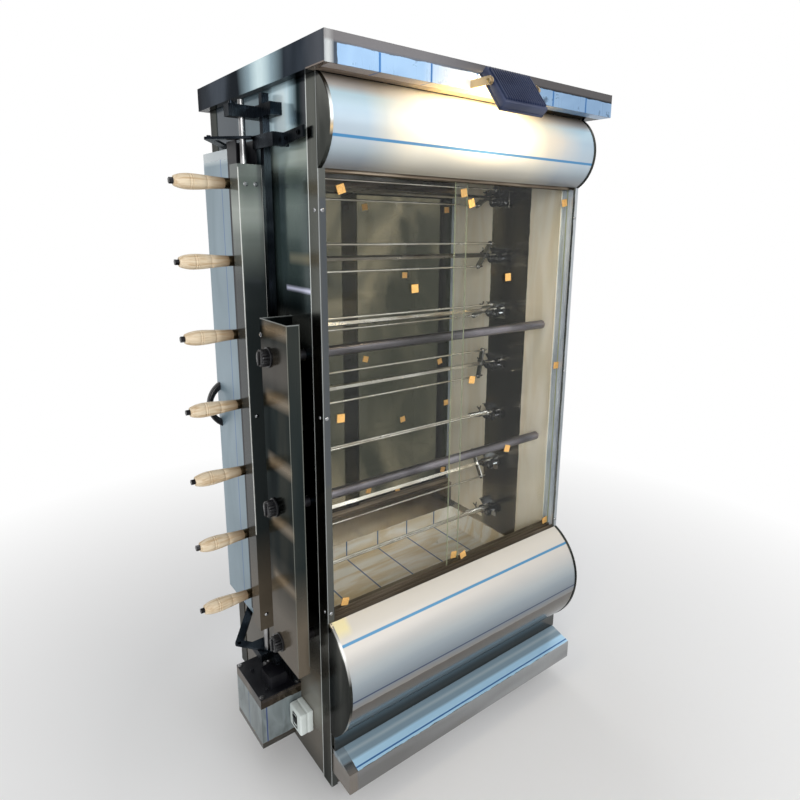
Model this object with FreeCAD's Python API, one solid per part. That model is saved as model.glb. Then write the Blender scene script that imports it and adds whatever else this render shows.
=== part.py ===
import FreeCAD, Part
import math
import os

# Gas chicken rotisserie, millimetres.
# Working axes while building: X runs right along the front from the left posts' outer face,
# Y runs back from the front posts' face, Z runs up from the floor.
# At the end everything is moved so that the origin is the bottom centre of the whole object.

VEC = FreeCAD.Vector
AXIS_X = VEC(1, 0, 0)
AXIS_Y = VEC(0, 1, 0)
AXIS_Z = VEC(0, 0, 1)

# Body
BODY_WIDTH = 860.0
BODY_DEPTH = 624.0
BODY_BOTTOM = 40.0
SHEET = 1.5
POST_SHEET = 2.0
POST_SIDE_LEG = 46.0
POST_FRONT_LEG = 18.0
WALL_OUT = POST_SHEET
WALL_IN = WALL_OUT + SHEET
LINER_DEPTH = 3.5
LINER_FACE = WALL_IN + LINER_DEPTH
LINER_Y = (56.0, 551.5)

# Front opening and canopy
OPENING_BOTTOM = 533.0
OPENING_TOP = 1622.0
CANOPY_BOTTOM = 1810.0
CANOPY_TOP = 1869.0
CANOPY_FRONT = 79.0
CANOPY_BACK = 28.0
CANOPY_SIDE = 22.0
CANOPY_LIP = 20.0
CANOPY_SOFFIT = 71.0
ROOF_UNDERSIDE = CANOPY_TOP - SHEET
CEILING = 1788.0
REAR_PANEL_BOTTOM = 1603.0

# Frame tubes
TUBE_WALL = 1.5
BASE_TUBE = 30.0
RAIL_DEPTH = 50.0
RAIL_HEIGHT = 20.0
FRONT_RAIL_Y = 4.0
FRONT_SILL_TOP = 521.0
REAR_SILL_TOP = 501.0
HEADER_BOTTOM = 1645.0
REAR_RAIL_Y = 552.0
FOOT_INSET = 60.0
FOOT_PLATE = 46.5
FOOT_PLATE_THICK = 4.0
FOOT_PAD_RADIUS = 22.0
FOOT_PAD_TOP_RADIUS = 19.0
FOOT_PAD_HEIGHT = 14.0
FOOT_STEM_RADIUS = 9.0

# Curved fasciae: bulge is how far they stand out of the front
UPPER_BULGE = 54.0
LOWER_BULGE = 98.5
LOWER_BULGE_Z = 380.0
NECK_OUT = 17.0
NECK_TOP = 213.0
NECK_BOTTOM = 167.0
END_PLATE = 2.0
END_RIM_WIDTH = 9.0
END_RIM_THICK = 1.4

# Sliding glass
GLASS = 5.0
GLASS_OUTER_Y = 34.0
GLASS_INNER_Y = 46.0
REAR_GLASS_OUTER_Y = 572.0
REAR_GLASS_INNER_Y = 560.0
GLASS_END_GAP = 1.5
GLASS_LEFT_EDGE = 463.0
GLASS_RIGHT_EDGE = 412.0
REAR_LEFT_EDGE = 438.0
REAR_RIGHT_EDGE = 388.0
GLASS_TOP = 1640.0
TRACK_BASE = 3.0
TRACK_RIB = 2.0
TRACK_RIB_HEIGHT = 13.0
TOP_RIB_HEIGHT = 29.0
TRACK_RIB_OFFSETS = (-20.0, -6.0, 6.0, 18.0)
TRACK_CENTERS = (33.0, 572.0)

# Floor tray and grease drawer
TRAY_TOP = 331.0
TRAY_Y = (57.0, 533.0)
TRAY_SKIRT_TOP = 403.0
TRAY_SKIRT_IN = 15.0
TRAY_SKIRT_EDGE = 6.0
TRAY_SKIRT_FOOT = 2.0
DRAIN_RADIUS = 6.0
DRAIN_SPOUT_DROP = 24.0
DRAINS = ((444.0, 301.0), (702.0, 433.0))
DRAWER_FRONT_OUT = 87.0
DRAWER_LIP_TOP = 165.0
DRAWER_LIP_LOW = 146.0
DRAWER_FRONT_BOTTOM = 88.0
DRAWER_X = (24.0, 836.0)
DRAWER_SHELL_X = 4.0
DRAWER_GAP = 1.0
DRAWER_TRAY_Z = (82.0, 150.0)
DRAWER_BACK = 560.0
RUNNER_TOP = 81.5

# Burners
BURNER_LEVELS = (1203.5, 829.0, 454.0)
BURNER_Y = 94.0
BURNER_RADIUS = 13.5
BURNER_BORE = 11.5
BURNER_X = (-14.0, 843.0)
BURNER_HOLE = 15.0
BURNER_PIN = 3.0
BURNER_END_ROUND = 6.0
BURNER_END_WALL = 6.0
PIPE_X = -42.0
PIPE_Y = 110.0
PIPE_RADIUS = 10.48
PIPE_WALL = 2.5
PIPE_Z = (395.0, 1264.0)
PIPE_CAP = 6.0
PIPE_CAP_RADIUS = 12.5
VALVE_HALF = 15.0
VALVE_FRONT = 82.0
GLAND_X = -70.0
GLAND_RADIUS = 9.0
JET_RADIUS = 8.0
STEM_END = -60.0
PIPE_CLIP_HALF = 4.0
PIPE_CLIP_Z = (1010.0, 1026.0)

# Cover of the gas controls
COVER_X = -79.0
COVER_Y = (10.0, 150.0)
COVER_Z = (409.0, 1291.0)
COVER_RETURN = 31.0
COVER_WALL_FLANGE = 20.0
KNOB_RADIUS = 20.5
KNOB_SKIRT_RADIUS = 24.0
KNOB_X = (-102.0, -84.0)
KNOB_SKIRT = 4.5
KNOB_RIBS = 16
KNOB_RIB_RADIUS = 2.6
KNOB_GRIP = 3.0
KNOB_GRIP_OUT = 4.0
STEM_RADIUS = 4.0
STEM_BORE = 4.06

# Spits
SPIT_COUNT = 7
SPIT_PITCH = 185.0
SPIT_TOP = 1598.0
SPIT_Y = 309.0
SPIT_ANGLES = (-30.0, -55.0, -30.0, -80.0, -20.0, 60.0, -30.0)
SPIT_BAR = 10.0
SPIT_BAR_END = 800.0
SPIT_TIP_END = 842.0
SPIT_TIP_RADIUS = 5.0
TANG_RADIUS = 4.0
PRONG_SPREAD = 48.0
PRONG_RADIUS = 3.0
PRONG_END = 794.0
PRONG_PLATE_X = 36.0
PLATE_THICK = 5.0
PLATE_HEIGHT = 18.0
PLATE_LENGTH = 112.0
CLAMP_X = 776.0
CLAMP_BOSS = 14.0
CLAMP_BOSS_RADIUS = 10.0
CLAMP_CLEARANCE = 0.3
WING_SCREW_RADIUS = 2.5
WING_Z = (19.0, 29.0)
WING_HALF = 11.0
WING_THICK = 3.0
WING_NOTCH = 4.0
JOURNAL_RADIUS = 11.0
JOURNAL_X = (-14.0, 14.0)
BUSH_BORE = 11.06
BUSH_RADIUS = 15.0
BUSH_FLANGE = 21.0

# Wooden handles
HANDLE_TIP = -215.0
HANDLE_NUT = 10.0
HANDLE_NUT_RADIUS = 7.5
HANDLE_END = -88.0
HANDLE_BELLY = 18.5
HANDLE_NECK = 13.0
FERRULE_END = -66.0

# Right end supports
ROLLER_RADIUS = 15.0
ROLLER_X = (822.0, 834.0)
ROLLER_Y_OFFSET = 15.6
SUPPORT_PLATE = 2.0
AXLE_RADIUS = 4.0
SUPPORT_HALF = 34.0
SUPPORT_Z = (-32.0, 26.0)
GUIDE_LENGTH = 26.0
# A guide wing's outline about the spit's axis, outwards and upwards
GUIDE_OUTLINE = ((11.0, 5.0), (27.0, 21.0), (33.0, 21.0), (33.0, 23.0), (26.0, 23.0), (9.5, 6.5))

# Worm drive
SHAFT_X = -52.0
SHAFT_Y = 267.0
SHAFT_RADIUS = 7.5
SHAFT_Z = (262.5, 1785.0)
MODULE = 2.0
WHEEL_TEETH = 28
WORM_PITCH_RADIUS = SPIT_Y - SHAFT_Y - MODULE * WHEEL_TEETH / 2.0
WORM_PITCH = math.pi * MODULE
WORM_LENGTH = 26.0
WORM_TURNS = 3.5
ADDENDUM = 1.8
DEDENDUM = 2.4
TOOTH_WIDTH = 2.4
WHEEL_WIDTH = 10.0
HUB_RADIUS = 12.7
HUB_HOLE = 13.0
HUB_X = (-65.0, -15.0)
COUPLING_RADIUS = 14.0
COUPLING_LENGTH = 27.5
SHAFT_BORE = 7.58

# Drive housing
CARRIER_X = (-62.0, -21.0)
CARRIER_Y = (262.0, 345.0)
CARRIER_Z = (418.0, 1698.0)
CARRIER_SHEET = 3.0
CARRIER_LEFT_FRONT = 287.0
CARRIER_TAB_Y = (325.0, 345.0)
CARRIER_TAB_HALF = 12.0
CARRIER_TAB_SPITS = (0, 3, 5)
DRIVE_COVER_X = (-80.5, -19.5)
DRIVE_COVER_Y = (236.0, 285.0)
DRIVE_COVER_Z = (411.0, 1640.0)

# Brackets of the drive: two flat arms meet at an apex, a leg on edge runs forward
BRACKET_THICK = 6.0
LOWER_BRACKET_Z = 320.0
BRACKET_ARM = 22.0
BRACKET_APEX = (-107.0, 338.0)
BRACKET_WALL_Y = 495.0
BRACKET_KNEE = (-34.0, 246.0)
BRACKET_FRONT_Y = 135.0
BRACKET_LEG = 30.0
BRACKET_FLANGE = 16.0
BRACKET_FLANGE_HALF = 14.0
BOLT_RADIUS = 5.0
BOLT_HEAD = 4.0
COLUMN_X = (-24.0, -7.0)
COLUMN_Y = (214.0, 231.0)
COLUMN_Z = (300.0, 1797.0)
CLAMP_BLOCK_X = -88.0
CLAMP_BLOCK_Y = (252.0, 282.0)
CLAMP_BLOCK_Z = (1745.0, 1772.0)
CLAMP_ARM_X = -26.0
CLAMP_EAR_X = -76.0
CLAMP_ARM_Y = 165.0
GUSSET_X = (-12.0, -8.0)
GUSSET_OUTLINE = ((150.0, 1674.0), (150.0, 1702.0), (36.0, 1710.0), (36.0, 1686.0))
GUSSET_BOLTS = ((59.0, 1697.0), (118.0, 1690.0))
GUSSET_SPACER = 8.0
LOWER_BEARING_Z = (300.0, 322.0)
LOWER_BEARING_HALF = 25.0
LOWER_BEARING_Y = (251.0, 322.0)
TENSIONER_Y = 232.0
TENSIONER_Z = 318.0
TENSIONER_RADIUS = 24.0
TENSIONER_RIBS = 12

# Motor and switch
MOTOR_X = -116.0
MOTOR_Y = (172.0, 344.0)
MOTOR_Z = (96.0, 248.5)
MOTOR_PLATE = 3.0
GEARBOX_HALF = 38.0
GEARBOX_BOTTOM = 190.0
MOTOR_RADIUS = 33.0
MOTOR_BOTTOM = 104.0
OUTPUT_RADIUS = 18.0
OUTPUT_GAP = 0.5
GEAR_CASE_X = (-80.0, -22.0)
GEAR_CASE_Y = (192.0, 250.0)
GEAR_CASE_TOP = 288.0
GEAR_CASE_ROUND = 8.0
MOTOR_BOLTS_X = (-89.0, -24.0)
MOTOR_BOLTS_Y = (198.0, 295.0)
MOTOR_BOLT_HEAD = 6.0
SWITCH_X = -37.0
SWITCH_Y = (100.0, 167.0)
SWITCH_Z = (143.0, 207.0)
SWITCH_ROUND = 6.0
WELL_DEPTH = 10.0
WELL_HALF_Y = 10.0
WELL_HALF_Z = 15.0
ROCKER_HALF = 9.0
ROCKER_PIN_X = 3.5
ROCKER_PIN = 1.8

# Service door
DOOR_X = (-27.0, -0.5)
DOOR_Y = (372.0, 622.0)
DOOR_Z = (336.0, 1692.0)
HINGE_X = -27.0
HINGE_Y = 362.0
HINGE_LEVELS = (520.0, 1510.0)
HINGE_LENGTH = 50.0
HINGE_PIN = 2.5
HINGE_BORE = 2.56
HINGE_KNUCKLE = 5.0
HINGE_TAB = 4.0
HINGE_GAP = 0.3
PULL_Z = 962.0
PULL_LENGTH = 140.0
PULL_OUT = 40.0
PULL_Y = 606.0
PULL_WIDTH = 22.0
PULL_FOOT = 24.0
PULL_THICK = 9.0

# Lamp
LAMP_X = (358.0, 498.0)
LAMP_PIVOT_Y = -143.5
LAMP_PIVOT_Z = 1820.0
LAMP_ABOVE = 42.0
LAMP_BELOW = 66.0
LAMP_THICK = 26.0
LAMP_BACK = 5.0
LAMP_BEZEL = 7.0
LAMP_ROUND = 3.0
LAMP_FIN = 1.2
LAMP_FIN_OUT = 5.0
LAMP_TILT = 39.0
LAMP_FINS = 13
LAMP_ARM_GAP = 3.0
LAMP_ARM_THICK = 3.0
LAMP_ARM_HEIGHT = 18.0
LAMP_ARM_BASE_Z = (1813.0, 1831.0)
LAMP_KNOB_RADIUS = 6.5
LAMP_KNOB_LENGTH = 6.0
LAMP_PIN = 5.0

# Screws on the posts
SCREW_RADIUS = 5.0
SCREW_HEAD = 2.4
SCREW_LEVELS = (1535.0, 1067.0, 560.0)
SCREW_SIDE_INSET = 17.0


def block(x0, x1, y0, y1, z0, z1):
    """A box between two corners."""
    return Part.makeBox(x1 - x0, y1 - y0, z1 - z0, VEC(x0, y0, z0))


def rod(start, axis, length, radius):
    """A round bar."""
    return Part.makeCylinder(radius, length, start, axis)


def pipe(start, axis, length, outer, inner):
    """A round tube."""
    return rod(start, axis, length, outer).cut(rod(start, axis, length, inner))


def fused(shapes):
    """One solid from touching shapes, with needless seams removed."""
    whole = shapes[0]
    for shape in shapes[1:]:
        whole = whole.fuse(shape)
    return whole.removeSplitter()


def group(shapes):
    """Separate solids kept side by side in one node."""
    return Part.makeCompound(shapes)


def prism_x(points, x0, x1):
    """Extrude a closed outline of (y, z) points along X."""
    corners = [VEC(x0, y, z) for y, z in points]
    face = Part.Face(Part.makePolygon(corners + corners[:1]))
    return face.extrude(VEC(x1 - x0, 0, 0))


def prism_z(points, z0, z1):
    """Extrude a closed outline of (x, y) points along Z."""
    corners = [VEC(x, y, z0) for x, y in points]
    face = Part.Face(Part.makePolygon(corners + corners[:1]))
    return face.extrude(VEC(0, 0, z1 - z0))


def square_tube(x0, x1, y0, y1, z0, z1, along):
    """A rectangular tube, open at its two ends along X or Y."""
    outer = block(x0, x1, y0, y1, z0, z1)
    t = TUBE_WALL
    if along == "x":
        inner = block(x0, x1, y0 + t, y1 - t, z0 + t, z1 - t)
    else:
        inner = block(x0 + t, x1 - t, y0, y1, z0 + t, z1 - t)
    return outer.cut(inner)


def spit_level(index):
    """Height of a spit's axis."""
    return SPIT_TOP - index * SPIT_PITCH


def mirrored_x(x):
    """The same place on the other side of the body."""
    return BODY_WIDTH - x


# Frame and skins

def make_frame_rails():
    """Welded tubes: base ring, sills and headers, and the runners of the drawer."""
    x0 = WALL_IN
    x1 = mirrored_x(WALL_IN)
    z0 = BODY_BOTTOM
    z1 = BODY_BOTTOM + BASE_TUBE
    back = BODY_DEPTH - FRONT_RAIL_Y
    parts = [
        square_tube(x0, x1, FRONT_RAIL_Y, FRONT_RAIL_Y + BASE_TUBE, z0, z1, "x"),
        square_tube(x0, x1, back - BASE_TUBE, back, z0, z1, "x"),
    ]
    side_y = (FRONT_RAIL_Y + BASE_TUBE, back - BASE_TUBE)
    for left in (x0, x1 - BASE_TUBE):
        parts.append(square_tube(left, left + BASE_TUBE, side_y[0], side_y[1], z0, z1, "y"))
    for left in (x0 + BASE_TUBE, x1 - BASE_TUBE - FOOT_PLATE):
        for front in (side_y[0], side_y[1] - FOOT_PLATE):
            plate = block(left, left + FOOT_PLATE, front, front + FOOT_PLATE, z0, z0 + FOOT_PLATE_THICK)
            parts.append(plate)
    for y, top in ((FRONT_RAIL_Y, FRONT_SILL_TOP), (REAR_RAIL_Y, REAR_SILL_TOP)):
        parts.append(square_tube(x0, x1, y, y + RAIL_DEPTH, top - RAIL_HEIGHT, top, "x"))
        header_top = HEADER_BOTTOM + RAIL_HEIGHT
        parts.append(square_tube(x0, x1, y, y + RAIL_DEPTH, HEADER_BOTTOM, header_top, "x"))
    for side in (0, 1):
        leg = [x0, x0 + SHEET]
        shelf = [x0 + SHEET, x0 + RAIL_DEPTH / 2.0]
        if side:
            leg = [mirrored_x(leg[1]), mirrored_x(leg[0])]
            shelf = [mirrored_x(shelf[1]), mirrored_x(shelf[0])]
        upright = block(leg[0], leg[1], FRONT_RAIL_Y, DRAWER_BACK, z1, z1 + BASE_TUBE)
        ledge = block(shelf[0], shelf[1], FRONT_RAIL_Y, DRAWER_BACK, RUNNER_TOP - SHEET, RUNNER_TOP)
        parts.append(fused([upright, ledge]))
    return group(parts)


def make_feet():
    """Four short feet, each a stem on a rubber pad."""
    feet = []
    for x in (FOOT_INSET, mirrored_x(FOOT_INSET)):
        for y in (FOOT_INSET, BODY_DEPTH - FOOT_INSET):
            pad = Part.makeCone(FOOT_PAD_RADIUS, FOOT_PAD_TOP_RADIUS, FOOT_PAD_HEIGHT, VEC(x, y, 0))
            stem_height = BODY_BOTTOM - FOOT_PAD_HEIGHT
            stem = rod(VEC(x, y, FOOT_PAD_HEIGHT), AXIS_Z, stem_height, FOOT_STEM_RADIUS)
            feet.append(fused([pad, stem]))
    return group(feet)


def make_corner_posts():
    """Four folded corner posts, a wide leg on the side and a narrow leg on the front or back."""
    posts = []
    for x0, inner in ((0.0, 1.0), (BODY_WIDTH, -1.0)):
        for y0, back in ((0.0, 1.0), (BODY_DEPTH, -1.0)):
            points = [
                (x0, y0),
                (x0 + inner * POST_FRONT_LEG, y0),
                (x0 + inner * POST_FRONT_LEG, y0 + back * POST_SHEET),
                (x0 + inner * POST_SHEET, y0 + back * POST_SHEET),
                (x0 + inner * POST_SHEET, y0 + back * POST_SIDE_LEG),
                (x0, y0 + back * POST_SIDE_LEG),
            ]
            posts.append(prism_z(points, BODY_BOTTOM, ROOF_UNDERSIDE))
    return group(posts)


def make_side_panels():
    """Outer side walls; the left one is pierced for the spits and the burners."""
    y0 = POST_SHEET
    y1 = BODY_DEPTH - POST_SHEET
    left = block(WALL_OUT, WALL_IN, y0, y1, BODY_BOTTOM, ROOF_UNDERSIDE)
    right = block(mirrored_x(WALL_IN), mirrored_x(WALL_OUT), y0, y1, BODY_BOTTOM, ROOF_UNDERSIDE)
    return group([left.cut(group(wall_holes())), right])


def wall_holes():
    """The drilled holes of the left walls."""
    holes = []
    for index in range(SPIT_COUNT):
        holes.append(rod(VEC(0, SPIT_Y, spit_level(index)), AXIS_X, LINER_FACE + 1.0, BUSH_RADIUS))
    for level in BURNER_LEVELS:
        holes.append(rod(VEC(0, BURNER_Y, level), AXIS_X, LINER_FACE + 1.0, BURNER_HOLE))
    return holes


def folded_liner(x_face, x_back):
    """A shallow folded pan that lines a side wall, its face at x_face."""
    x_low = min(x_face, x_back)
    x_high = max(x_face, x_back)
    outer = block(x_low, x_high, LINER_Y[0], LINER_Y[1], TRAY_TOP, CEILING)
    step = SHEET if x_back > x_face else -SHEET
    inside = sorted((x_face + step, x_back))
    t = SHEET
    hollow = block(inside[0], inside[1], LINER_Y[0] + t, LINER_Y[1] - t, TRAY_TOP + t, CEILING - t)
    return outer.cut(hollow)


def make_inner_liners():
    """The cooking space's left, right and top liners."""
    left = folded_liner(LINER_FACE, WALL_IN).cut(group(wall_holes()))
    right = folded_liner(mirrored_x(LINER_FACE), mirrored_x(WALL_IN))
    y1 = REAR_RAIL_Y + RAIL_DEPTH
    top = block(WALL_IN, mirrored_x(WALL_IN), FRONT_RAIL_Y, y1, CEILING, CEILING + SHEET)
    return group([left, right, top])


def make_rear_panels():
    """Flat sheets above and below the rear glass."""
    y1 = BODY_DEPTH - POST_SHEET
    y0 = y1 - SHEET
    x0 = WALL_IN
    x1 = mirrored_x(WALL_IN)
    upper = block(x0, x1, y0, y1, REAR_PANEL_BOTTOM, ROOF_UNDERSIDE)
    lower = block(x0, x1, y0, y1, BODY_BOTTOM, REAR_SILL_TOP)
    shelf_y = REAR_RAIL_Y + RAIL_DEPTH
    shelf_low = block(x0, x1, shelf_y, y0, REAR_SILL_TOP - SHEET, REAR_SILL_TOP)
    shelf_high = block(x0, x1, shelf_y, y0, HEADER_BOTTOM, HEADER_BOTTOM + SHEET)
    return group([fused([upper, shelf_high]), fused([lower, shelf_low])])


def make_canopy():
    """The overhanging hood: a tray turned upside down, with a deep soffit in front and narrow lips."""
    x0 = -CANOPY_SIDE
    x1 = BODY_WIDTH + CANOPY_SIDE
    y0 = -CANOPY_FRONT
    y1 = BODY_DEPTH + CANOPY_BACK
    t = SHEET
    outer = block(x0, x1, y0, y1, CANOPY_BOTTOM, CANOPY_TOP)
    hollow = block(x0 + t, x1 - t, y0 + t, y1 - t, CANOPY_BOTTOM + t, ROOF_UNDERSIDE)
    lip = CANOPY_LIP
    z0 = CANOPY_BOTTOM - t
    mouth = block(x0 + lip, x1 - lip, y0 + CANOPY_SOFFIT, y1 - lip, z0, CANOPY_BOTTOM + 2 * t)
    return outer.cut(hollow).cut(mouth)


# Curved fasciae

def polar(center, radius, angle):
    """A point of a circle in the YZ plane, angle in radians from the front."""
    return (center[0] - radius * math.cos(angle), center[1] + radius * math.sin(angle))


def arc_edge(center, radius, a0, a1, x):
    """An arc in the plane at x."""
    ends = [polar(center, radius, a) for a in (a0, (a0 + a1) / 2.0, a1)]
    vectors = [VEC(x, y, z) for y, z in ends]
    return Part.Arc(vectors[0], vectors[1], vectors[2]).toShape()


def line_edge(p, q, x):
    """A straight edge in the plane at x."""
    return Part.LineSegment(VEC(x, p[0], p[1]), VEC(x, q[0], q[1])).toShape()


def upper_arc():
    """Centre, radius and half angle of the upper fascia."""
    half = (CANOPY_BOTTOM - OPENING_TOP) / 2.0
    radius = (half ** 2 + UPPER_BULGE ** 2) / (2.0 * UPPER_BULGE)
    center = (radius - UPPER_BULGE, OPENING_TOP + half)
    return [(center, radius, math.asin(half / radius), -math.asin(half / radius))]


def lower_arcs():
    """The two tangent arcs of the lower fascia, from the top down."""
    rise = OPENING_BOTTOM - LOWER_BULGE_Z
    top_radius = (rise ** 2 + LOWER_BULGE ** 2) / (2.0 * LOWER_BULGE)
    drop = LOWER_BULGE_Z - NECK_TOP
    depth = LOWER_BULGE - NECK_OUT
    low_radius = (drop ** 2 + depth ** 2) / (2.0 * depth)
    top_center = (top_radius - LOWER_BULGE, LOWER_BULGE_Z)
    low_center = (low_radius - LOWER_BULGE, LOWER_BULGE_Z)
    return [
        (top_center, top_radius, math.asin(rise / top_radius), 0.0),
        (low_center, low_radius, 0.0, -math.asin(drop / low_radius)),
    ]


def curve_points(arcs, offset):
    """Start and end of each arc, offset outwards."""
    points = [polar(arcs[0][0], arcs[0][1] + offset, arcs[0][2])]
    for center, radius, a0, a1 in arcs:
        points.append(polar(center, radius + offset, a1))
    return points


def band(arcs, outside, inside, x0, x1):
    """A curved strip between two offsets of the arcs, extruded along X."""
    edges = []
    for center, radius, a0, a1 in arcs:
        edges.append(arc_edge(center, radius + outside, a0, a1, x0))
    edges.append(line_edge(curve_points(arcs, outside)[-1], curve_points(arcs, inside)[-1], x0))
    for center, radius, a0, a1 in reversed(arcs):
        edges.append(arc_edge(center, radius + inside, a1, a0, x0))
    edges.append(line_edge(curve_points(arcs, inside)[0], curve_points(arcs, outside)[0], x0))
    return Part.Face(Part.Wire(edges)).extrude(VEC(x1 - x0, 0, 0))


def cheek(arcs, x0, x1):
    """A flat end plate that fills the curve back to the posts."""
    points = curve_points(arcs, 0.0)
    edges = [arc_edge(c, r, a0, a1, x0) for c, r, a0, a1 in arcs]
    low = (0.0, points[-1][1])
    if points[-1][0] < -0.01:
        edges.append(line_edge(points[-1], low, x0))
    edges.append(line_edge(low, points[0], x0))
    return Part.Face(Part.Wire(edges)).extrude(VEC(x1 - x0, 0, 0))


def before_posts(shape):
    """Trim what would reach behind the posts' front faces."""
    return shape.cut(block(-1.0, BODY_WIDTH + 1.0, 0.0, BASE_TUBE, 0.0, CANOPY_TOP))


def make_upper_fascia():
    """The barrel-shaped sheet above the glass."""
    return before_posts(band(upper_arc(), 0.0, -SHEET, END_PLATE, BODY_WIDTH - END_PLATE))


def make_lower_fascia():
    """The deeper barrel below the glass, running down into a straight neck."""
    x0 = END_PLATE
    x1 = BODY_WIDTH - END_PLATE
    barrel = band(lower_arcs(), 0.0, -SHEET, x0, x1)
    y0 = -NECK_OUT
    neck = block(x0, x1, y0, y0 + SHEET, NECK_BOTTOM, NECK_TOP + 1.0)
    foot = block(x0, x1, y0 + SHEET, 0.0, NECK_BOTTOM, NECK_BOTTOM + SHEET)
    return before_posts(fused([barrel, neck, foot]))


def make_fascia_end_plates():
    """End plates of both barrels, each with a bright rim folded over the sheet."""
    plates = []
    for arcs in (upper_arc(), lower_arcs()):
        for x0, x1, rim0, rim1 in (
            (0.0, END_PLATE, 0.0, END_RIM_WIDTH),
            (BODY_WIDTH - END_PLATE, BODY_WIDTH, BODY_WIDTH - END_RIM_WIDTH, BODY_WIDTH),
        ):
            plate = cheek(arcs, x0, x1)
            rim = band(arcs, END_RIM_THICK, 0.0, rim0, rim1)
            plates.append(fused([plate, rim]))
    return group(plates)


# Glass and its tracks

def track(center_y, base_z, up):
    """A ribbed track with two grooves, ribs pointing up or down."""
    x0 = WALL_IN
    x1 = mirrored_x(WALL_IN)
    front = center_y + TRACK_RIB_OFFSETS[0]
    back = center_y + TRACK_RIB_OFFSETS[-1] + TRACK_RIB
    height = TRACK_RIB_HEIGHT if up else -TOP_RIB_HEIGHT
    base = TRACK_BASE if up else -TRACK_BASE
    z = sorted((base_z, base_z + base))
    pieces = [block(x0, x1, front, back, z[0], z[1])]
    for offset in TRACK_RIB_OFFSETS:
        y = center_y + offset
        z = sorted((base_z, base_z + height))
        pieces.append(block(x0, x1, y, y + TRACK_RIB, z[0], z[1]))
    return fused(pieces)


def make_door_tracks():
    """Bottom and top tracks of the front and the rear glass."""
    front, rear = TRACK_CENTERS
    return group([
        track(front, FRONT_SILL_TOP, True),
        track(front, HEADER_BOTTOM, False),
        track(rear, REAR_SILL_TOP, True),
        track(rear, HEADER_BOTTOM, False),
    ])


def pane(x0, x1, y, sill):
    """A glass pane standing on a track's base."""
    half = GLASS / 2.0
    return block(x0, x1, y - half, y + half, sill + TRACK_BASE + 0.3, GLASS_TOP)


def make_glass(name):
    """One of the four sliding panes."""
    left = WALL_IN + GLASS_END_GAP
    right = mirrored_x(left)
    places = {
        "front_glass_left": (left, GLASS_LEFT_EDGE, GLASS_INNER_Y, FRONT_SILL_TOP),
        "front_glass_right": (GLASS_RIGHT_EDGE, right, GLASS_OUTER_Y, FRONT_SILL_TOP),
        "rear_glass_left": (left, REAR_LEFT_EDGE, REAR_GLASS_INNER_Y, REAR_SILL_TOP),
        "rear_glass_right": (REAR_RIGHT_EDGE, right, REAR_GLASS_OUTER_Y, REAR_SILL_TOP),
    }
    x0, x1, y, sill = places[name]
    return pane(x0, x1, y, sill)


# Tray and drawer

def make_floor_tray():
    """The drip floor with its front and back walls, sloped side skirts and drain spouts."""
    x0 = LINER_FACE
    x1 = mirrored_x(LINER_FACE)
    y0 = TRAY_Y[0] - SHEET
    y1 = TRAY_Y[1] + SHEET
    z0 = TRAY_TOP - SHEET
    pieces = [
        block(x0, x1, y0, y1, z0, TRAY_TOP),
        block(x0, x1, y0, TRAY_Y[0], z0, FRONT_SILL_TOP),
        block(x0, x1, TRAY_Y[1], y1, z0, REAR_SILL_TOP),
        block(x0, x1, y1, REAR_RAIL_Y, REAR_SILL_TOP - SHEET, REAR_SILL_TOP),
        block(x0, x1, FRONT_RAIL_Y + RAIL_DEPTH, y0, FRONT_SILL_TOP - SHEET, FRONT_SILL_TOP),
    ]
    for sign, x in ((1.0, x0), (-1.0, x1)):
        corners = [
            VEC(x, TRAY_Y[0], TRAY_SKIRT_TOP),
            VEC(x, TRAY_Y[0], TRAY_SKIRT_TOP - TRAY_SKIRT_EDGE),
            VEC(x + sign * (TRAY_SKIRT_IN - TRAY_SKIRT_FOOT), TRAY_Y[0], TRAY_TOP),
            VEC(x + sign * TRAY_SKIRT_IN, TRAY_Y[0], TRAY_TOP),
        ]
        face = Part.Face(Part.makePolygon(corners + corners[:1]))
        pieces.append(face.extrude(VEC(0, TRAY_Y[1] - TRAY_Y[0], 0)))
    tray = fused(pieces)
    for x, y in DRAINS:
        tray = tray.cut(rod(VEC(x, y, z0 - 1.0), AXIS_Z, SHEET + 2.0, DRAIN_RADIUS))
        foot = VEC(x, y, z0 - DRAIN_SPOUT_DROP)
        spout = pipe(foot, AXIS_Z, DRAIN_SPOUT_DROP, DRAIN_RADIUS + SHEET, DRAIN_RADIUS)
        tray = tray.fuse(spout)
    return tray


def make_grease_drawer():
    """The grease drawer: an open box behind a folded front that overhangs as a grip."""
    t = SHEET
    front0 = -DRAWER_FRONT_OUT
    lip = -NECK_OUT + DRAWER_GAP
    back = -DRAWER_GAP
    outline = [
        (lip, DRAWER_LIP_TOP),
        (front0, DRAWER_LIP_LOW),
        (front0, DRAWER_FRONT_BOTTOM),
        (back, DRAWER_FRONT_BOTTOM),
        (back, DRAWER_LIP_TOP),
    ]
    inner = [
        (lip, DRAWER_LIP_TOP - t),
        (front0 + t, DRAWER_LIP_LOW - t),
        (front0 + t, DRAWER_FRONT_BOTTOM + t),
        (back - t, DRAWER_FRONT_BOTTOM + t),
        (back - t, DRAWER_LIP_TOP - t),
    ]
    x0 = DRAWER_SHELL_X
    x1 = mirrored_x(x0)
    shell = prism_x(outline, x0, x1).cut(prism_x(inner, x0 + t, x1 - t))
    low, high = DRAWER_TRAY_Z
    left, right = DRAWER_X
    box = block(left, right, back, DRAWER_BACK, low, high)
    box = box.cut(block(left + t, right - t, back + t, DRAWER_BACK - t, low + t, high + t))
    return fused([shell, box])


# Burners and gas

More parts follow.
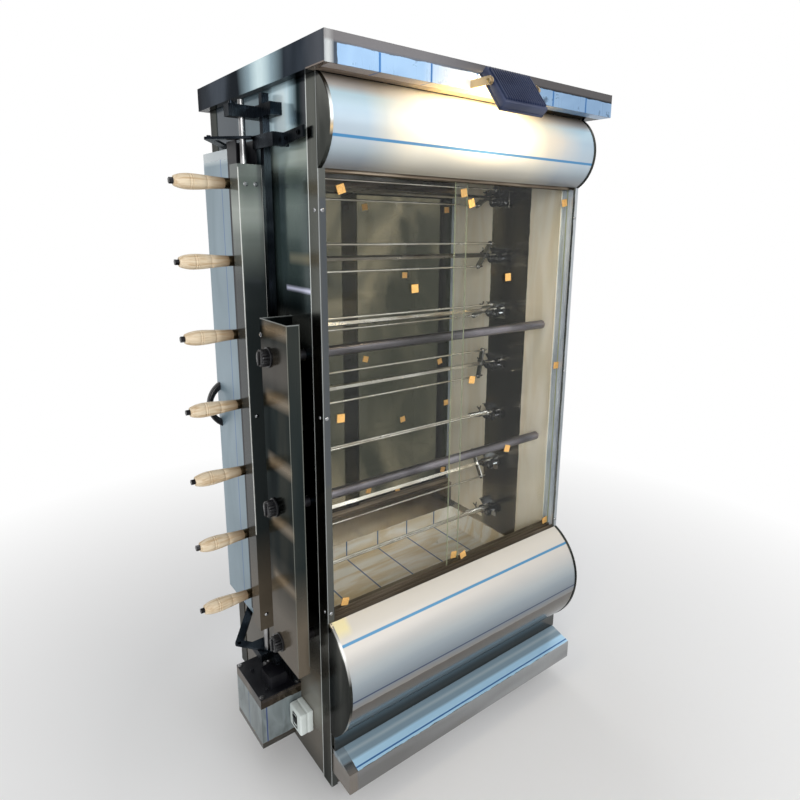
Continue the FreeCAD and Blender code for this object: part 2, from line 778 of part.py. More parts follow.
def make_burner_tubes():
    """Three tube burners across the cooking space, closed at the right."""
    tubes = []
    x0, x1 = BURNER_X
    for level in BURNER_LEVELS:
        body = rod(VEC(x0, BURNER_Y, level), AXIS_X, x1 - x0, BURNER_RADIUS)
        end = [edge for edge in body.Edges if edge.BoundBox.XMin > x1 - 1.0]
        body = body.makeFillet(BURNER_END_ROUND, end[:1])
        bore = x1 - x0 + 1.0 - BURNER_END_WALL
        body = body.cut(rod(VEC(x0 - 1.0, BURNER_Y, level), AXIS_X, bore, BURNER_BORE))
        pin = rod(VEC(x1 - 1.0, BURNER_Y, level), AXIS_X, mirrored_x(LINER_FACE) - x1 + 1.0, BURNER_PIN)
        tubes.append(fused([body, pin]))
    return group(tubes)


def make_gas_manifold():
    """The gas pipe, open at its top for the hose, with three valves that each feed one burner."""
    low, high = PIPE_Z
    bore = PIPE_RADIUS - PIPE_WALL
    tube = pipe(VEC(PIPE_X, PIPE_Y, low), AXIS_Z, high - low, PIPE_RADIUS, bore)
    cap = rod(VEC(PIPE_X, PIPE_Y, low), AXIS_Z, PIPE_CAP, PIPE_CAP_RADIUS)
    pieces = [tube, cap]
    half = VALVE_HALF
    x0 = PIPE_X - half
    x1 = PIPE_X + half
    for level in BURNER_LEVELS:
        body = block(x0, x1, VALVE_FRONT, PIPE_Y + half, level - half, level + half)
        gland = rod(VEC(GLAND_X, PIPE_Y, level), AXIS_X, x0 - GLAND_X + 2.0, GLAND_RADIUS)
        jet = rod(VEC(x1, BURNER_Y, level), AXIS_X, BURNER_X[0] - x1, JET_RADIUS)
        valve = fused([body, gland, jet])
        stem_bore = rod(VEC(GLAND_X - 1.0, PIPE_Y, level), AXIS_X, STEM_END - GLAND_X + 3.0, STEM_BORE)
        passage = rod(VEC(PIPE_X, PIPE_Y, level - half - 1.0), AXIS_Z, 2 * half + 2.0, bore)
        pieces.append(valve.cut(stem_bore).cut(passage))
    clip_low, clip_high = PIPE_CLIP_Z
    y0 = PIPE_Y - PIPE_CLIP_HALF
    y1 = PIPE_Y + PIPE_CLIP_HALF
    clip = block(PIPE_X, WALL_OUT, y0, y1, clip_low, clip_high)
    inside = rod(VEC(PIPE_X, PIPE_Y, clip_low - 1.0), AXIS_Z, clip_high - clip_low + 2.0, bore + 1.0)
    pieces.append(clip.cut(inside))
    return fused(pieces)


def make_control_cover():
    """The mirror-bright folded cover in front of the valves."""
    x0 = COVER_X
    y0, y1 = COVER_Y
    z0, z1 = COVER_Z
    t = SHEET
    pieces = [
        block(x0, x0 + t, y0, y1, z0, z1),
        block(x0, x0 + COVER_RETURN, y0, y0 + t, z0, z1),
        block(x0, WALL_OUT, y1 - t, y1, z0, z1),
        block(WALL_OUT - t, WALL_OUT, y1, y1 + COVER_WALL_FLANGE, z0, z1),
    ]
    cover = fused(pieces)
    for level in BURNER_LEVELS:
        cover = cover.cut(rod(VEC(x0 - 1.0, PIPE_Y, level), AXIS_X, t + 2.0, STEM_RADIUS + 2.0))
    return cover


def make_gas_knob(level):
    """A ribbed black knob on its stem."""
    x0, x1 = KNOB_X
    body = rod(VEC(x0, PIPE_Y, level), AXIS_X, x1 - x0, KNOB_RADIUS)
    notches = []
    for index in range(KNOB_RIBS):
        angle = 2.0 * math.pi * index / KNOB_RIBS
        y = PIPE_Y + (KNOB_RADIUS + 1.0) * math.cos(angle)
        z = level + (KNOB_RADIUS + 1.0) * math.sin(angle)
        notches.append(rod(VEC(x0 - 1.0, y, z), AXIS_X, x1 - x0 - 2.0, KNOB_RIB_RADIUS))
    body = body.cut(group(notches))
    skirt = rod(VEC(x1, PIPE_Y, level), AXIS_X, KNOB_SKIRT, KNOB_SKIRT_RADIUS)
    reach = KNOB_RADIUS - KNOB_GRIP_OUT
    y0 = PIPE_Y - KNOB_GRIP
    y1 = PIPE_Y + KNOB_GRIP
    grip = block(x0 - KNOB_GRIP_OUT, x0, y0, y1, level - reach, level + reach)
    stem = rod(VEC(x1, PIPE_Y, level), AXIS_X, STEM_END - x1, STEM_RADIUS)
    return fused([body, skirt, grip, stem])


# Spits

def turned(shape, index):
    """Turn a shape about a spit's axis to the angle that the spit rests at."""
    center = VEC(0, SPIT_Y, spit_level(index))
    return shape.rotate(center, AXIS_X, SPIT_ANGLES[index])


def tooth_outline():
    """Corners of the worm wheel's outline, in (y, z) about its axis, with a gap facing the worm."""
    pitch_radius = MODULE * WHEEL_TEETH / 2.0
    step = 2.0 * math.pi / WHEEL_TEETH
    root = pitch_radius - DEDENDUM
    tip = pitch_radius + ADDENDUM
    half_root = (TOOTH_WIDTH / 2.0 + DEDENDUM * math.tan(math.radians(20.0))) / root
    half_tip = (TOOTH_WIDTH / 2.0 - ADDENDUM * math.tan(math.radians(20.0))) / tip
    points = []
    for index in range(WHEEL_TEETH):
        middle = math.pi + step * (index + 0.5)
        for radius, shift in ((root, -half_root), (tip, -half_tip), (tip, half_tip), (root, half_root)):
            angle = middle + shift
            points.append((radius * math.cos(angle), radius * math.sin(angle)))
    return points


def make_worm_wheel(index):
    """The toothed wheel and its hub on a spit's left end."""
    level = spit_level(index)
    outline = [(SPIT_Y + y, level + z) for y, z in tooth_outline()]
    half = WHEEL_WIDTH / 2.0
    disc = prism_x(outline, SHAFT_X - half, SHAFT_X + half)
    hub = rod(VEC(HUB_X[0], SPIT_Y, level), AXIS_X, HUB_X[1] - HUB_X[0], HUB_RADIUS)
    half_bar = SPIT_BAR / 2.0
    y0 = SPIT_Y - half_bar
    y1 = SPIT_Y + half_bar
    bore = block(HUB_X[0] - 1.0, HUB_X[1] + 1.0, y0, y1, level - half_bar, level + half_bar)
    return fused([disc, hub]).cut(turned(bore, index))


def make_spit(index):
    """A spit: square bar, round tip and tang, journal, and two long prongs on a cross plate."""
    level = spit_level(index)
    half = SPIT_BAR / 2.0
    bar = block(FERRULE_END, SPIT_BAR_END, SPIT_Y - half, SPIT_Y + half, level - half, level + half)
    tip = rod(VEC(SPIT_BAR_END, SPIT_Y, level), AXIS_X, SPIT_TIP_END - SPIT_BAR_END, SPIT_TIP_RADIUS)
    tang = rod(VEC(HANDLE_TIP + 2.0, SPIT_Y, level), AXIS_X, FERRULE_END - HANDLE_TIP - 2.0, TANG_RADIUS)
    journal = rod(VEC(JOURNAL_X[0], SPIT_Y, level), AXIS_X, JOURNAL_X[1] - JOURNAL_X[0], JOURNAL_RADIUS)
    ferrule_length = FERRULE_END - HANDLE_END
    ferrule_start = VEC(HANDLE_END, SPIT_Y, level)
    ferrule = pipe(ferrule_start, AXIS_X, ferrule_length, HANDLE_NECK, TANG_RADIUS - 1.0)
    plate = cross_plate(level, PRONG_PLATE_X, PRONG_PLATE_X + PLATE_THICK)
    pieces = [bar, tip, tang, journal, ferrule, hex_nut(level), plate]
    for side in (-1.0, 1.0):
        y = SPIT_Y + side * PRONG_SPREAD
        prong = rod(VEC(PRONG_PLATE_X, y, level), AXIS_X, PRONG_END - PRONG_PLATE_X, PRONG_RADIUS)
        point = Part.makeCone(PRONG_RADIUS, 1.0, 6.0, VEC(PRONG_END, y, level), AXIS_X)
        pieces.append(prong)
        pieces.append(point)
    return group([turned(fused(pieces), index), make_worm_wheel(index)])


def cross_plate(level, x0, x1):
    """A flat plate across a spit with rounded ends."""
    radius = PLATE_HEIGHT / 2.0
    half = PLATE_LENGTH / 2.0 - radius
    pieces = [block(x0, x1, SPIT_Y - half, SPIT_Y + half, level - radius, level + radius)]
    for side in (-1.0, 1.0):
        pieces.append(rod(VEC(x0, SPIT_Y + side * half, level), AXIS_X, x1 - x0, radius))
    return fused(pieces)


def hex_nut(level):
    """The nut on the outer end of the handle."""
    corners = []
    for index in range(6):
        angle = math.radians(60.0 * index)
        y = SPIT_Y + HANDLE_NUT_RADIUS * math.cos(angle)
        z = level + HANDLE_NUT_RADIUS * math.sin(angle)
        corners.append((y, z))
    return prism_x(corners, HANDLE_TIP, HANDLE_TIP + HANDLE_NUT)


def make_spit_clamp(index):
    """The clamp that slides along a spit: cross plate, boss and wing screw."""
    level = spit_level(index)
    x0 = CLAMP_X
    x1 = CLAMP_X + PLATE_THICK
    x2 = x1 + CLAMP_BOSS
    plate = cross_plate(level, x0, x1)
    boss = rod(VEC(x1, SPIT_Y, level), AXIS_X, CLAMP_BOSS, CLAMP_BOSS_RADIUS)
    middle = (x1 + x2) / 2.0
    wing_low = level + WING_Z[0]
    wing_high = level + WING_Z[1]
    base = CLAMP_BOSS_RADIUS - 3.0
    screw = rod(VEC(middle, SPIT_Y, level + base), AXIS_Z, WING_Z[0] - base, WING_SCREW_RADIUS)
    left = middle - WING_THICK / 2.0
    right = middle + WING_THICK / 2.0
    wing = block(left, right, SPIT_Y - WING_HALF, SPIT_Y + WING_HALF, wing_low, wing_high)
    notch_low = (wing_low + wing_high) / 2.0
    notch = block(left, right, SPIT_Y - WING_NOTCH, SPIT_Y + WING_NOTCH, notch_low, wing_high)
    clamp = fused([plate, boss, screw, wing.cut(notch)])
    half = SPIT_BAR / 2.0 + CLAMP_CLEARANCE
    holes = [block(x0 - 1.0, x2 + 1.0, SPIT_Y - half, SPIT_Y + half, level - half, level + half)]
    for side in (-1.0, 1.0):
        start = VEC(x0 - 1.0, SPIT_Y + side * PRONG_SPREAD, level)
        holes.append(rod(start, AXIS_X, PLATE_THICK + 2.0, PRONG_RADIUS + CLAMP_CLEARANCE))
    return turned(clamp.cut(group(holes)), index)


def make_spit_handle(index):
    """The turned wooden handle, a swelling grip with a double groove."""
    level = spit_level(index)
    x0 = HANDLE_TIP + HANDLE_NUT
    x1 = HANDLE_END
    length = x1 - x0
    belly = HANDLE_BELLY
    neck = HANDLE_NECK
    profile = [
        VEC(x0, 0, 0),
        VEC(x0, neck - 1.0, 0),
        VEC(x0 + 0.08 * length, neck + 2.0, 0),
    ]
    groove_a = x0 + 0.30 * length
    groove_b = groove_a + 6.0
    top = [
        (groove_a - 1.5, belly),
        (groove_a, belly - 1.6),
        (groove_a + 1.5, belly),
        (groove_b - 1.5, belly),
        (groove_b, belly - 1.6),
        (groove_b + 1.5, belly),
    ]
    edges = [Part.LineSegment(profile[0], profile[1]).toShape()]
    edges.append(Part.LineSegment(profile[1], profile[2]).toShape())
    first = VEC(top[0][0], top[0][1], 0)
    swell = VEC(x0 + 0.17 * length, belly - 0.6, 0)
    edges.append(Part.Arc(profile[2], swell, first).toShape())
    for a, b in zip(top, top[1:]):
        edges.append(Part.LineSegment(VEC(a[0], a[1], 0), VEC(b[0], b[1], 0)).toShape())
    last = VEC(top[-1][0], top[-1][1], 0)
    waist = VEC(x0 + 0.70 * length, neck + 2.4, 0)
    end = VEC(x1, neck, 0)
    edges.append(Part.Arc(last, waist, end).toShape())
    edges.append(Part.LineSegment(end, VEC(x1, 0, 0)).toShape())
    edges.append(Part.LineSegment(VEC(x1, 0, 0), profile[0]).toShape())
    solid = Part.Face(Part.Wire(edges)).revolve(VEC(0, 0, 0), AXIS_X, 360.0)
    solid.translate(VEC(0, SPIT_Y, level))
    return solid.cut(rod(VEC(x0 - 1.0, SPIT_Y, level), AXIS_X, length + 2.0, TANG_RADIUS))


def make_spit_supports():
    """Left bushings and right brackets that carry the spits."""
    pieces = []
    wall = mirrored_x(LINER_FACE)
    for index in range(SPIT_COUNT):
        level = spit_level(index)
        flange = rod(VEC(-2.0, SPIT_Y, level), AXIS_X, WALL_OUT + 2.0, BUSH_FLANGE)
        sleeve = rod(VEC(WALL_OUT, SPIT_Y, level), AXIS_X, 9.0, BUSH_RADIUS)
        bore = rod(VEC(-3.0, SPIT_Y, level), AXIS_X, 20.0, BUSH_BORE)
        pieces.append(fused([flange, sleeve]).cut(bore))
        pieces.append(right_bracket(level, wall))
    return group(pieces)


def right_bracket(level, wall):
    """A wall plate with two roller axles and a funnel of two bent wings."""
    inner = wall - SUPPORT_PLATE
    low, high = SUPPORT_Z
    plate = block(inner, wall, SPIT_Y - SUPPORT_HALF, SPIT_Y + SUPPORT_HALF, level + low, level + high)
    pieces = [plate]
    drop = roller_drop()
    start = ROLLER_X[0] - 2.0
    for side in (-1.0, 1.0):
        y = SPIT_Y + side * ROLLER_Y_OFFSET
        pieces.append(rod(VEC(start, y, level - drop), AXIS_X, wall - start, AXLE_RADIUS))
        wing = [(SPIT_Y + side * out, level + up) for out, up in GUIDE_OUTLINE]
        pieces.append(prism_x(wing, wall - GUIDE_LENGTH, inner))
    return fused(pieces)


def roller_drop():
    """How far the rollers' axes lie below the spit's axis when its tip rests on both."""
    reach = ROLLER_RADIUS + SPIT_TIP_RADIUS + 0.1
    return math.sqrt(reach ** 2 - ROLLER_Y_OFFSET ** 2)


def make_support_rollers():
    """Two black rollers under each spit's right end."""
    rollers = []
    for index in range(SPIT_COUNT):
        level = spit_level(index) - roller_drop()
        for side in (-1.0, 1.0):
            y = SPIT_Y + side * ROLLER_Y_OFFSET
            length = ROLLER_X[1] - ROLLER_X[0]
            rollers.append(pipe(VEC(ROLLER_X[0], y, level), AXIS_X, length, ROLLER_RADIUS, AXLE_RADIUS))
    return group(rollers)


# Worm drive

def make_worm(level):
    """A sleeve with one thread whose crest points at the wheel's gap."""
    root = WORM_PITCH_RADIUS - DEDENDUM + 0.2
    crest = WORM_PITCH_RADIUS + ADDENDUM
    core = rod(VEC(0, 0, -WORM_LENGTH / 2.0), AXIS_Z, WORM_LENGTH, root)
    slope = math.tan(math.radians(20.0))
    half_crest = TOOTH_WIDTH / 2.0 - ADDENDUM * slope
    half_root = TOOTH_WIDTH / 2.0 + (DEDENDUM + 0.8) * slope
    height = WORM_TURNS * WORM_PITCH
    helix = Part.makeHelix(WORM_PITCH, height, WORM_PITCH_RADIUS)
    inner = root - 1.0
    corners = [
        VEC(inner, 0, -half_root),
        VEC(crest, 0, -half_crest),
        VEC(crest, 0, half_crest),
        VEC(inner, 0, half_root),
    ]
    profile = Part.makePolygon(corners + corners[:1])
    thread = Part.Wire(helix).makePipeShell([profile], True, True)
    thread.translate(VEC(0, 0, -height / 2.0))
    # Turned so that the thread's middle passes straight behind the shaft at the wheel's level
    thread.rotate(VEC(0, 0, 0), AXIS_Z, 90.0 - 180.0 * WORM_TURNS)
    worm = core.fuse(thread).cut(rod(VEC(0, 0, -WORM_LENGTH), AXIS_Z, 2 * WORM_LENGTH, SHAFT_RADIUS))
    worm.translate(VEC(SHAFT_X, SHAFT_Y, level))
    return worm


def make_drive_shaft():
    """The upright shaft with a worm beside each spit and a coupling at its foot."""
    low, high = SHAFT_Z
    shaft = rod(VEC(SHAFT_X, SHAFT_Y, low), AXIS_Z, high - low, SHAFT_RADIUS)
    coupling = rod(VEC(SHAFT_X, SHAFT_Y, low), AXIS_Z, COUPLING_LENGTH, COUPLING_RADIUS)
    worms = [make_worm(spit_level(index)) for index in range(SPIT_COUNT)]
    return group([fused([shaft, coupling])] + worms)


def make_drive_carrier():
    """The black channel that carries the wheels' hubs: a short left flange and tabs to the wall."""
    x0, x1 = CARRIER_X
    y0, y1 = CARRIER_Y
    z0, z1 = CARRIER_Z
    t = CARRIER_SHEET
    outer = block(x0, x1, y0, y1, z0, z1)
    channel = outer.cut(block(x0 + t, x1 - t, y0 - 1.0, y1 - t, z0 - 1.0, z1 + 1.0))
    channel = channel.cut(block(x0, x0 + t, y0, CARRIER_LEFT_FRONT, z0, z1))
    holes = []
    for index in range(SPIT_COUNT):
        holes.append(rod(VEC(x0 - 1.0, SPIT_Y, spit_level(index)), AXIS_X, x1 - x0 + 2.0, HUB_HOLE))
    pieces = [channel.cut(group(holes))]
    for index in CARRIER_TAB_SPITS:
        middle = spit_level(index) - SPIT_PITCH / 2.0
        low = middle - CARRIER_TAB_HALF
        high = middle + CARRIER_TAB_HALF
        pieces.append(block(x1 - t, WALL_OUT, CARRIER_TAB_Y[0], CARRIER_TAB_Y[1], low, high))
    return fused(pieces)


def make_drive_cover():
    """The long steel channel that covers the shaft from the front."""
    x0, x1 = DRIVE_COVER_X
    y0, y1 = DRIVE_COVER_Y
    z0, z1 = DRIVE_COVER_Z
    outer = block(x0, x1, y0, y1, z0, z1)
    return outer.cut(block(x0 + SHEET, x1 - SHEET, y0 + SHEET, y1 + 1.0, z0 - 1.0, z1 + 1.0))


def flat_bar(p, q, width, z0, z1):
    """A flat bar of one width between two plan points."""
    dx = q[0] - p[0]
    dy = q[1] - p[1]
    length = math.hypot(dx, dy)
    nx = -dy / length * width / 2.0
    ny = dx / length * width / 2.0
    corners = [
        (p[0] + nx, p[1] + ny),
        (q[0] + nx, q[1] + ny),
        (q[0] - nx, q[1] - ny),
        (p[0] - nx, p[1] - ny),
    ]
    return prism_z(corners, z0, z1)


def bracket_frame(z0, flange_z):
    """Flat arms from the apex to the wall and to the knee, and a leg on edge that runs forward."""
    z1 = z0 + BRACKET_THICK
    half = BRACKET_THICK / 2.0
    apex = BRACKET_APEX
    knee_x, knee_y = BRACKET_KNEE
    front = BRACKET_FRONT_Y
    flange_y = (BRACKET_WALL_Y - BRACKET_FLANGE_HALF, BRACKET_WALL_Y + BRACKET_FLANGE_HALF)
    flange_x = WALL_OUT - BRACKET_THICK
    pieces = [
        flat_bar(apex, (flange_x, BRACKET_WALL_Y), BRACKET_ARM, z0, z1),
        flat_bar(apex, BRACKET_KNEE, BRACKET_ARM, z0, z1),
        rod(VEC(apex[0], apex[1], z0), AXIS_Z, BRACKET_THICK, BRACKET_ARM / 2.0),
        rod(VEC(apex[0], apex[1], z1), AXIS_Z, BOLT_HEAD, BOLT_RADIUS),
        block(flange_x, WALL_OUT, flange_y[0], flange_y[1], flange_z, flange_z + BRACKET_FLANGE),
        block(knee_x - half, knee_x + half, front, knee_y, z1 - BRACKET_LEG, z1),
        block(knee_x - half, COLUMN_X[1], COLUMN_Y[0], knee_y, z0, z1),
        block(knee_x - half, WALL_OUT, front, front + BRACKET_THICK, z1 - BRACKET_LEG, z1),
    ]
    return fused(pieces)


def gusset():
    """The grey flat bar that ties the upper bracket's leg to the front post, with its bolts."""
    x0, x1 = GUSSET_X
    pieces = [prism_x(GUSSET_OUTLINE, x0, x1)]
    for y, z in GUSSET_BOLTS:
        pieces.append(rod(VEC(x0 - BOLT_HEAD, y, z), AXIS_X, BOLT_HEAD, BOLT_RADIUS))
    y, z = GUSSET_BOLTS[0]
    pieces.append(rod(VEC(x1, y, z), AXIS_X, -x1, GUSSET_SPACER))
    return fused(pieces)


def tensioner():
    """The ribbed round clamp between the foot bearing and the wall."""
    start = VEC(SHAFT_X, TENSIONER_Y, TENSIONER_Z)
    length = WALL_OUT - SHAFT_X
    body = rod(start, AXIS_X, length, TENSIONER_RADIUS)
    notches = []
    for index in range(TENSIONER_RIBS):
        angle = 2.0 * math.pi * index / TENSIONER_RIBS
        y = TENSIONER_Y + (TENSIONER_RADIUS + 1.0) * math.cos(angle)
        z = TENSIONER_Z + (TENSIONER_RADIUS + 1.0) * math.sin(angle)
        notches.append(rod(VEC(SHAFT_X - 1.0, y, z), AXIS_X, length / 2.0, KNOB_RIB_RADIUS))
    return body.cut(group(notches))


def make_drive_brackets():
    """Both bracket frames, the column between them, the top clamp and the foot bearing."""
    upper_z = CARRIER_Z[1]
    lower_z = LOWER_BRACKET_Z
    upper = bracket_frame(upper_z, upper_z)
    lower = bracket_frame(lower_z, lower_z + BRACKET_THICK - BRACKET_FLANGE)
    column = block(COLUMN_X[0], COLUMN_X[1], COLUMN_Y[0], COLUMN_Y[1], COLUMN_Z[0], COLUMN_Z[1])
    low, high = CLAMP_BLOCK_Z
    y0, y1 = CLAMP_BLOCK_Y
    clamp = block(CLAMP_BLOCK_X, WALL_OUT, y0, y1, low, high)
    arm = block(CLAMP_ARM_X, WALL_OUT, CLAMP_ARM_Y, y1, low, high)
    ear = rod(VEC(CLAMP_EAR_X, SHAFT_Y, high), AXIS_Z, 2.0 * BOLT_HEAD, BOLT_RADIUS)
    z0, z1 = LOWER_BEARING_Z
    half = LOWER_BEARING_HALF
    bearing = block(SHAFT_X - half, SHAFT_X + half, LOWER_BEARING_Y[0], LOWER_BEARING_Y[1], z0, z1)
    frame = fused([upper, lower, column, clamp, arm, ear, gusset(), bearing, tensioner()])
    lower_top = lower_z + BRACKET_THICK
    cuts = [
        block(WALL_OUT, LINER_FACE, 0.0, BODY_DEPTH, 0.0, CANOPY_TOP),
        rod(VEC(SHAFT_X, SHAFT_Y, upper_z - 1.0), AXIS_Z, high - upper_z + 2.0, SHAFT_BORE),
        rod(VEC(SHAFT_X, SHAFT_Y, z0 - 1.0), AXIS_Z, lower_top - z0 + 2.0, SHAFT_BORE),
    ]
    return frame.cut(group(cuts))


def make_motor_box():
    """The sheet box round the gearmotor, closed on top by the motor's plate."""
    y0, y1 = MOTOR_Y
    z0, z1 = MOTOR_Z
    t = SHEET
    outer = block(MOTOR_X, WALL_OUT, y0, y1, z0, z1)
    return outer.cut(block(MOTOR_X + t, WALL_OUT - t, y0 + t, y1 - t, z0 + t, z1 + 1.0))


def make_gearmotor():
    """The gearmotor hung under its black plate, with a gear case, an output boss and bolts on top."""
    y0, y1 = MOTOR_Y
    plate_low = MOTOR_Z[1]
    top = plate_low + MOTOR_PLATE
    half = GEARBOX_HALF
    pieces = [
        block(MOTOR_X, WALL_OUT, y0, y1, plate_low, top),
        block(SHAFT_X - half, SHAFT_X + half, SHAFT_Y - half, SHAFT_Y + half, GEARBOX_BOTTOM, plate_low),
        rod(VEC(SHAFT_X, SHAFT_Y, MOTOR_BOTTOM), AXIS_Z, GEARBOX_BOTTOM - MOTOR_BOTTOM, MOTOR_RADIUS),
        rod(VEC(SHAFT_X, SHAFT_Y, top), AXIS_Z, SHAFT_Z[0] - OUTPUT_GAP - top, OUTPUT_RADIUS),
    ]
    case = block(GEAR_CASE_X[0], GEAR_CASE_X[1], GEAR_CASE_Y[0], GEAR_CASE_Y[1], top, GEAR_CASE_TOP)
    upright = [edge for edge in case.Edges if abs(edge.Vertexes[0].Z - edge.Vertexes[1].Z) > 1.0]
    pieces.append(case.makeFillet(GEAR_CASE_ROUND, upright))
    for x in MOTOR_BOLTS_X:
        for y in MOTOR_BOLTS_Y:
            pieces.append(rod(VEC(x, y, top), AXIS_Z, MOTOR_BOLT_HEAD, BOLT_RADIUS))
    return fused(pieces)


# Switch

def make_switch_box():
    """The plastic switch box on the side wall, with a well for the rocker."""
    y0, y1 = SWITCH_Y
    z0, z1 = SWITCH_Z
    body = block(SWITCH_X, WALL_OUT, y0, y1, z0, z1)
    upright = [edge for edge in body.Edges if abs(edge.Vertexes[0].X - edge.Vertexes[1].X) > 1.0]
    body = body.makeFillet(SWITCH_ROUND, upright)
    middle_y = (y0 + y1) / 2.0
    middle_z = (z0 + z1) / 2.0
    well_y = (middle_y - WELL_HALF_Y, middle_y + WELL_HALF_Y)
    well_z = (middle_z - WELL_HALF_Z, middle_z + WELL_HALF_Z)
    well = block(SWITCH_X - 1.0, SWITCH_X + WELL_DEPTH, well_y[0], well_y[1], well_z[0], well_z[1])
    return body.cut(well)


def make_rocker_switch():
    """A rocker, slightly bent in the middle, with a pin on its level axis."""
    middle_y = (SWITCH_Y[0] + SWITCH_Y[1]) / 2.0
    middle_z = (SWITCH_Z[0] + SWITCH_Z[1]) / 2.0
    x = SWITCH_X
    corners = [
        VEC(x + 1.0, 0, -13.0),
        VEC(x - 2.0, 0, 0.0),
        VEC(x - 5.0, 0, 13.0),
        VEC(x + 3.5, 0, 11.5),
        VEC(x + 5.5, 0, 0.0),
        VEC(x + 5.5, 0, -10.0),
    ]
    face = Part.Face(Part.makePolygon(corners + corners[:1]))
    rocker = face.extrude(VEC(0, 2.0 * ROCKER_HALF, 0))
    rocker.translate(VEC(0, middle_y - ROCKER_HALF, middle_z))
    pin_half = WELL_HALF_Y - 0.4
    pin = rod(VEC(x + ROCKER_PIN_X, middle_y - pin_half, middle_z), AXIS_Y, 2.0 * pin_half, ROCKER_PIN)
    return fused([rocker, pin])


# Service door

def make_service_door():
    """The tall door pan on the left side, with the moving knuckles of its two hinges."""
    x0, x1 = DOOR_X
    y0, y1 = DOOR_Y
    z0, z1 = DOOR_Z
    t = SHEET
    outer = block(x0, x1, y0, y1, z0, z1)
    pieces = [outer.cut(block(x0 + t, x1 + 1.0, y0 + t, y1 - t, z0 + t, z1 - t))]
    for level in HINGE_LEVELS:
        low = level + HINGE_GAP
        high = level + HINGE_LENGTH / 2.0
        knuckle = rod(VEC(HINGE_X, HINGE_Y, low), AXIS_Z, high - low, HINGE_KNUCKLE)
        tab = block(HINGE_X, HINGE_X + HINGE_TAB, HINGE_Y, y0 + t, low, high)
        pieces.append(knuckle)
        pieces.append(tab)
    door = fused(pieces)
    for level in HINGE_LEVELS:
        door = door.cut(rod(VEC(HINGE_X, HINGE_Y, level - 1.0), AXIS_Z, HINGE_LENGTH, HINGE_BORE))
    return door


def make_door_hinge_pins():
    """The fixed half of each hinge: a pin, a knuckle and a tab to the wall."""
    hinges = []
    for level in HINGE_LEVELS:
        low = level - HINGE_LENGTH / 2.0
        pin = rod(VEC(HINGE_X, HINGE_Y, low), AXIS_Z, HINGE_LENGTH, HINGE_PIN)
        knuckle = rod(VEC(HINGE_X, HINGE_Y, low), AXIS_Z, HINGE_LENGTH / 2.0, HINGE_KNUCKLE)
        half_tab = HINGE_TAB / 2.0
        tab = block(HINGE_X, WALL_OUT, HINGE_Y - half_tab, HINGE_Y + half_tab, low, level)
        hinges.append(fused([pin, knuckle, tab]))
    return group(hinges)


def make_service_door_handle():
    """An arched black pull handle with a flat foot at each end."""
    half = PULL_LENGTH / 2.0
    x0 = DOOR_X[0]
    foot = PULL_FOOT
    thick = PULL_THICK

    def arch(out, reach, x_base):
        ends = (VEC(x_base, 0, -reach), VEC(x_base - out, 0, 0), VEC(x_base, 0, reach))
        return Part.Arc(ends[0], ends[1], ends[2]).toShape()

    outer = arch(PULL_OUT, half, x0)
    inner = arch(PULL_OUT - thick, half - foot, x0)
    edges = [
        outer,
        Part.LineSegment(VEC(x0, 0, half), VEC(x0, 0, half - foot)).toShape(),
        inner,
        Part.LineSegment(VEC(x0, 0, -half + foot), VEC(x0, 0, -half)).toShape(),
    ]
    face = Part.Face(Part.Wire(Part.__sortEdges__(edges)))
    handle = face.extrude(VEC(0, PULL_WIDTH, 0))
    handle.translate(VEC(0, PULL_Y - PULL_WIDTH / 2.0, PULL_Z))
    return handle


# Lamp

def make_lamp_housing():
    """A flat floodlight with a ribbed back, tipped to shine back and down."""
    x0, x1 = LAMP_X
    body = block(x0, x1, -LAMP_BACK, LAMP_THICK - LAMP_BACK, -LAMP_BELOW, LAMP_ABOVE)
    pieces = [body.makeFillet(LAMP_ROUND, body.Edges)]
    inset = LAMP_BEZEL + LAMP_ROUND
    step = (x1 - x0 - 2.0 * inset) / (LAMP_FINS - 1)
    low = -LAMP_BELOW + LAMP_BEZEL
    high = LAMP_ABOVE - LAMP_BEZEL
    for index in range(LAMP_FINS):
        x = x0 + inset + index * step
        fin = block(x - LAMP_FIN, x + LAMP_FIN, -LAMP_BACK - LAMP_FIN_OUT, -LAMP_BACK + 1.0, low, high)
        pieces.append(fin)
    for x, direction in ((x0 - LAMP_ARM_GAP, 1.0), (x1 + LAMP_ARM_GAP, -1.0)):
        pieces.append(rod(VEC(x, 0, 0), AXIS_X * direction, LAMP_ARM_GAP + 1.0, LAMP_PIN))
    lamp = fused(pieces)
    face = LAMP_THICK - LAMP_BACK
    lamp = lamp.cut(block(x0 + LAMP_BEZEL, x1 - LAMP_BEZEL, face - 2.0, face + 1.0, low, high))
    lamp.rotate(VEC(0, 0, 0), AXIS_X, -LAMP_TILT)
    lamp.translate(VEC(0, LAMP_PIVOT_Y, LAMP_PIVOT_Z))
    return lamp


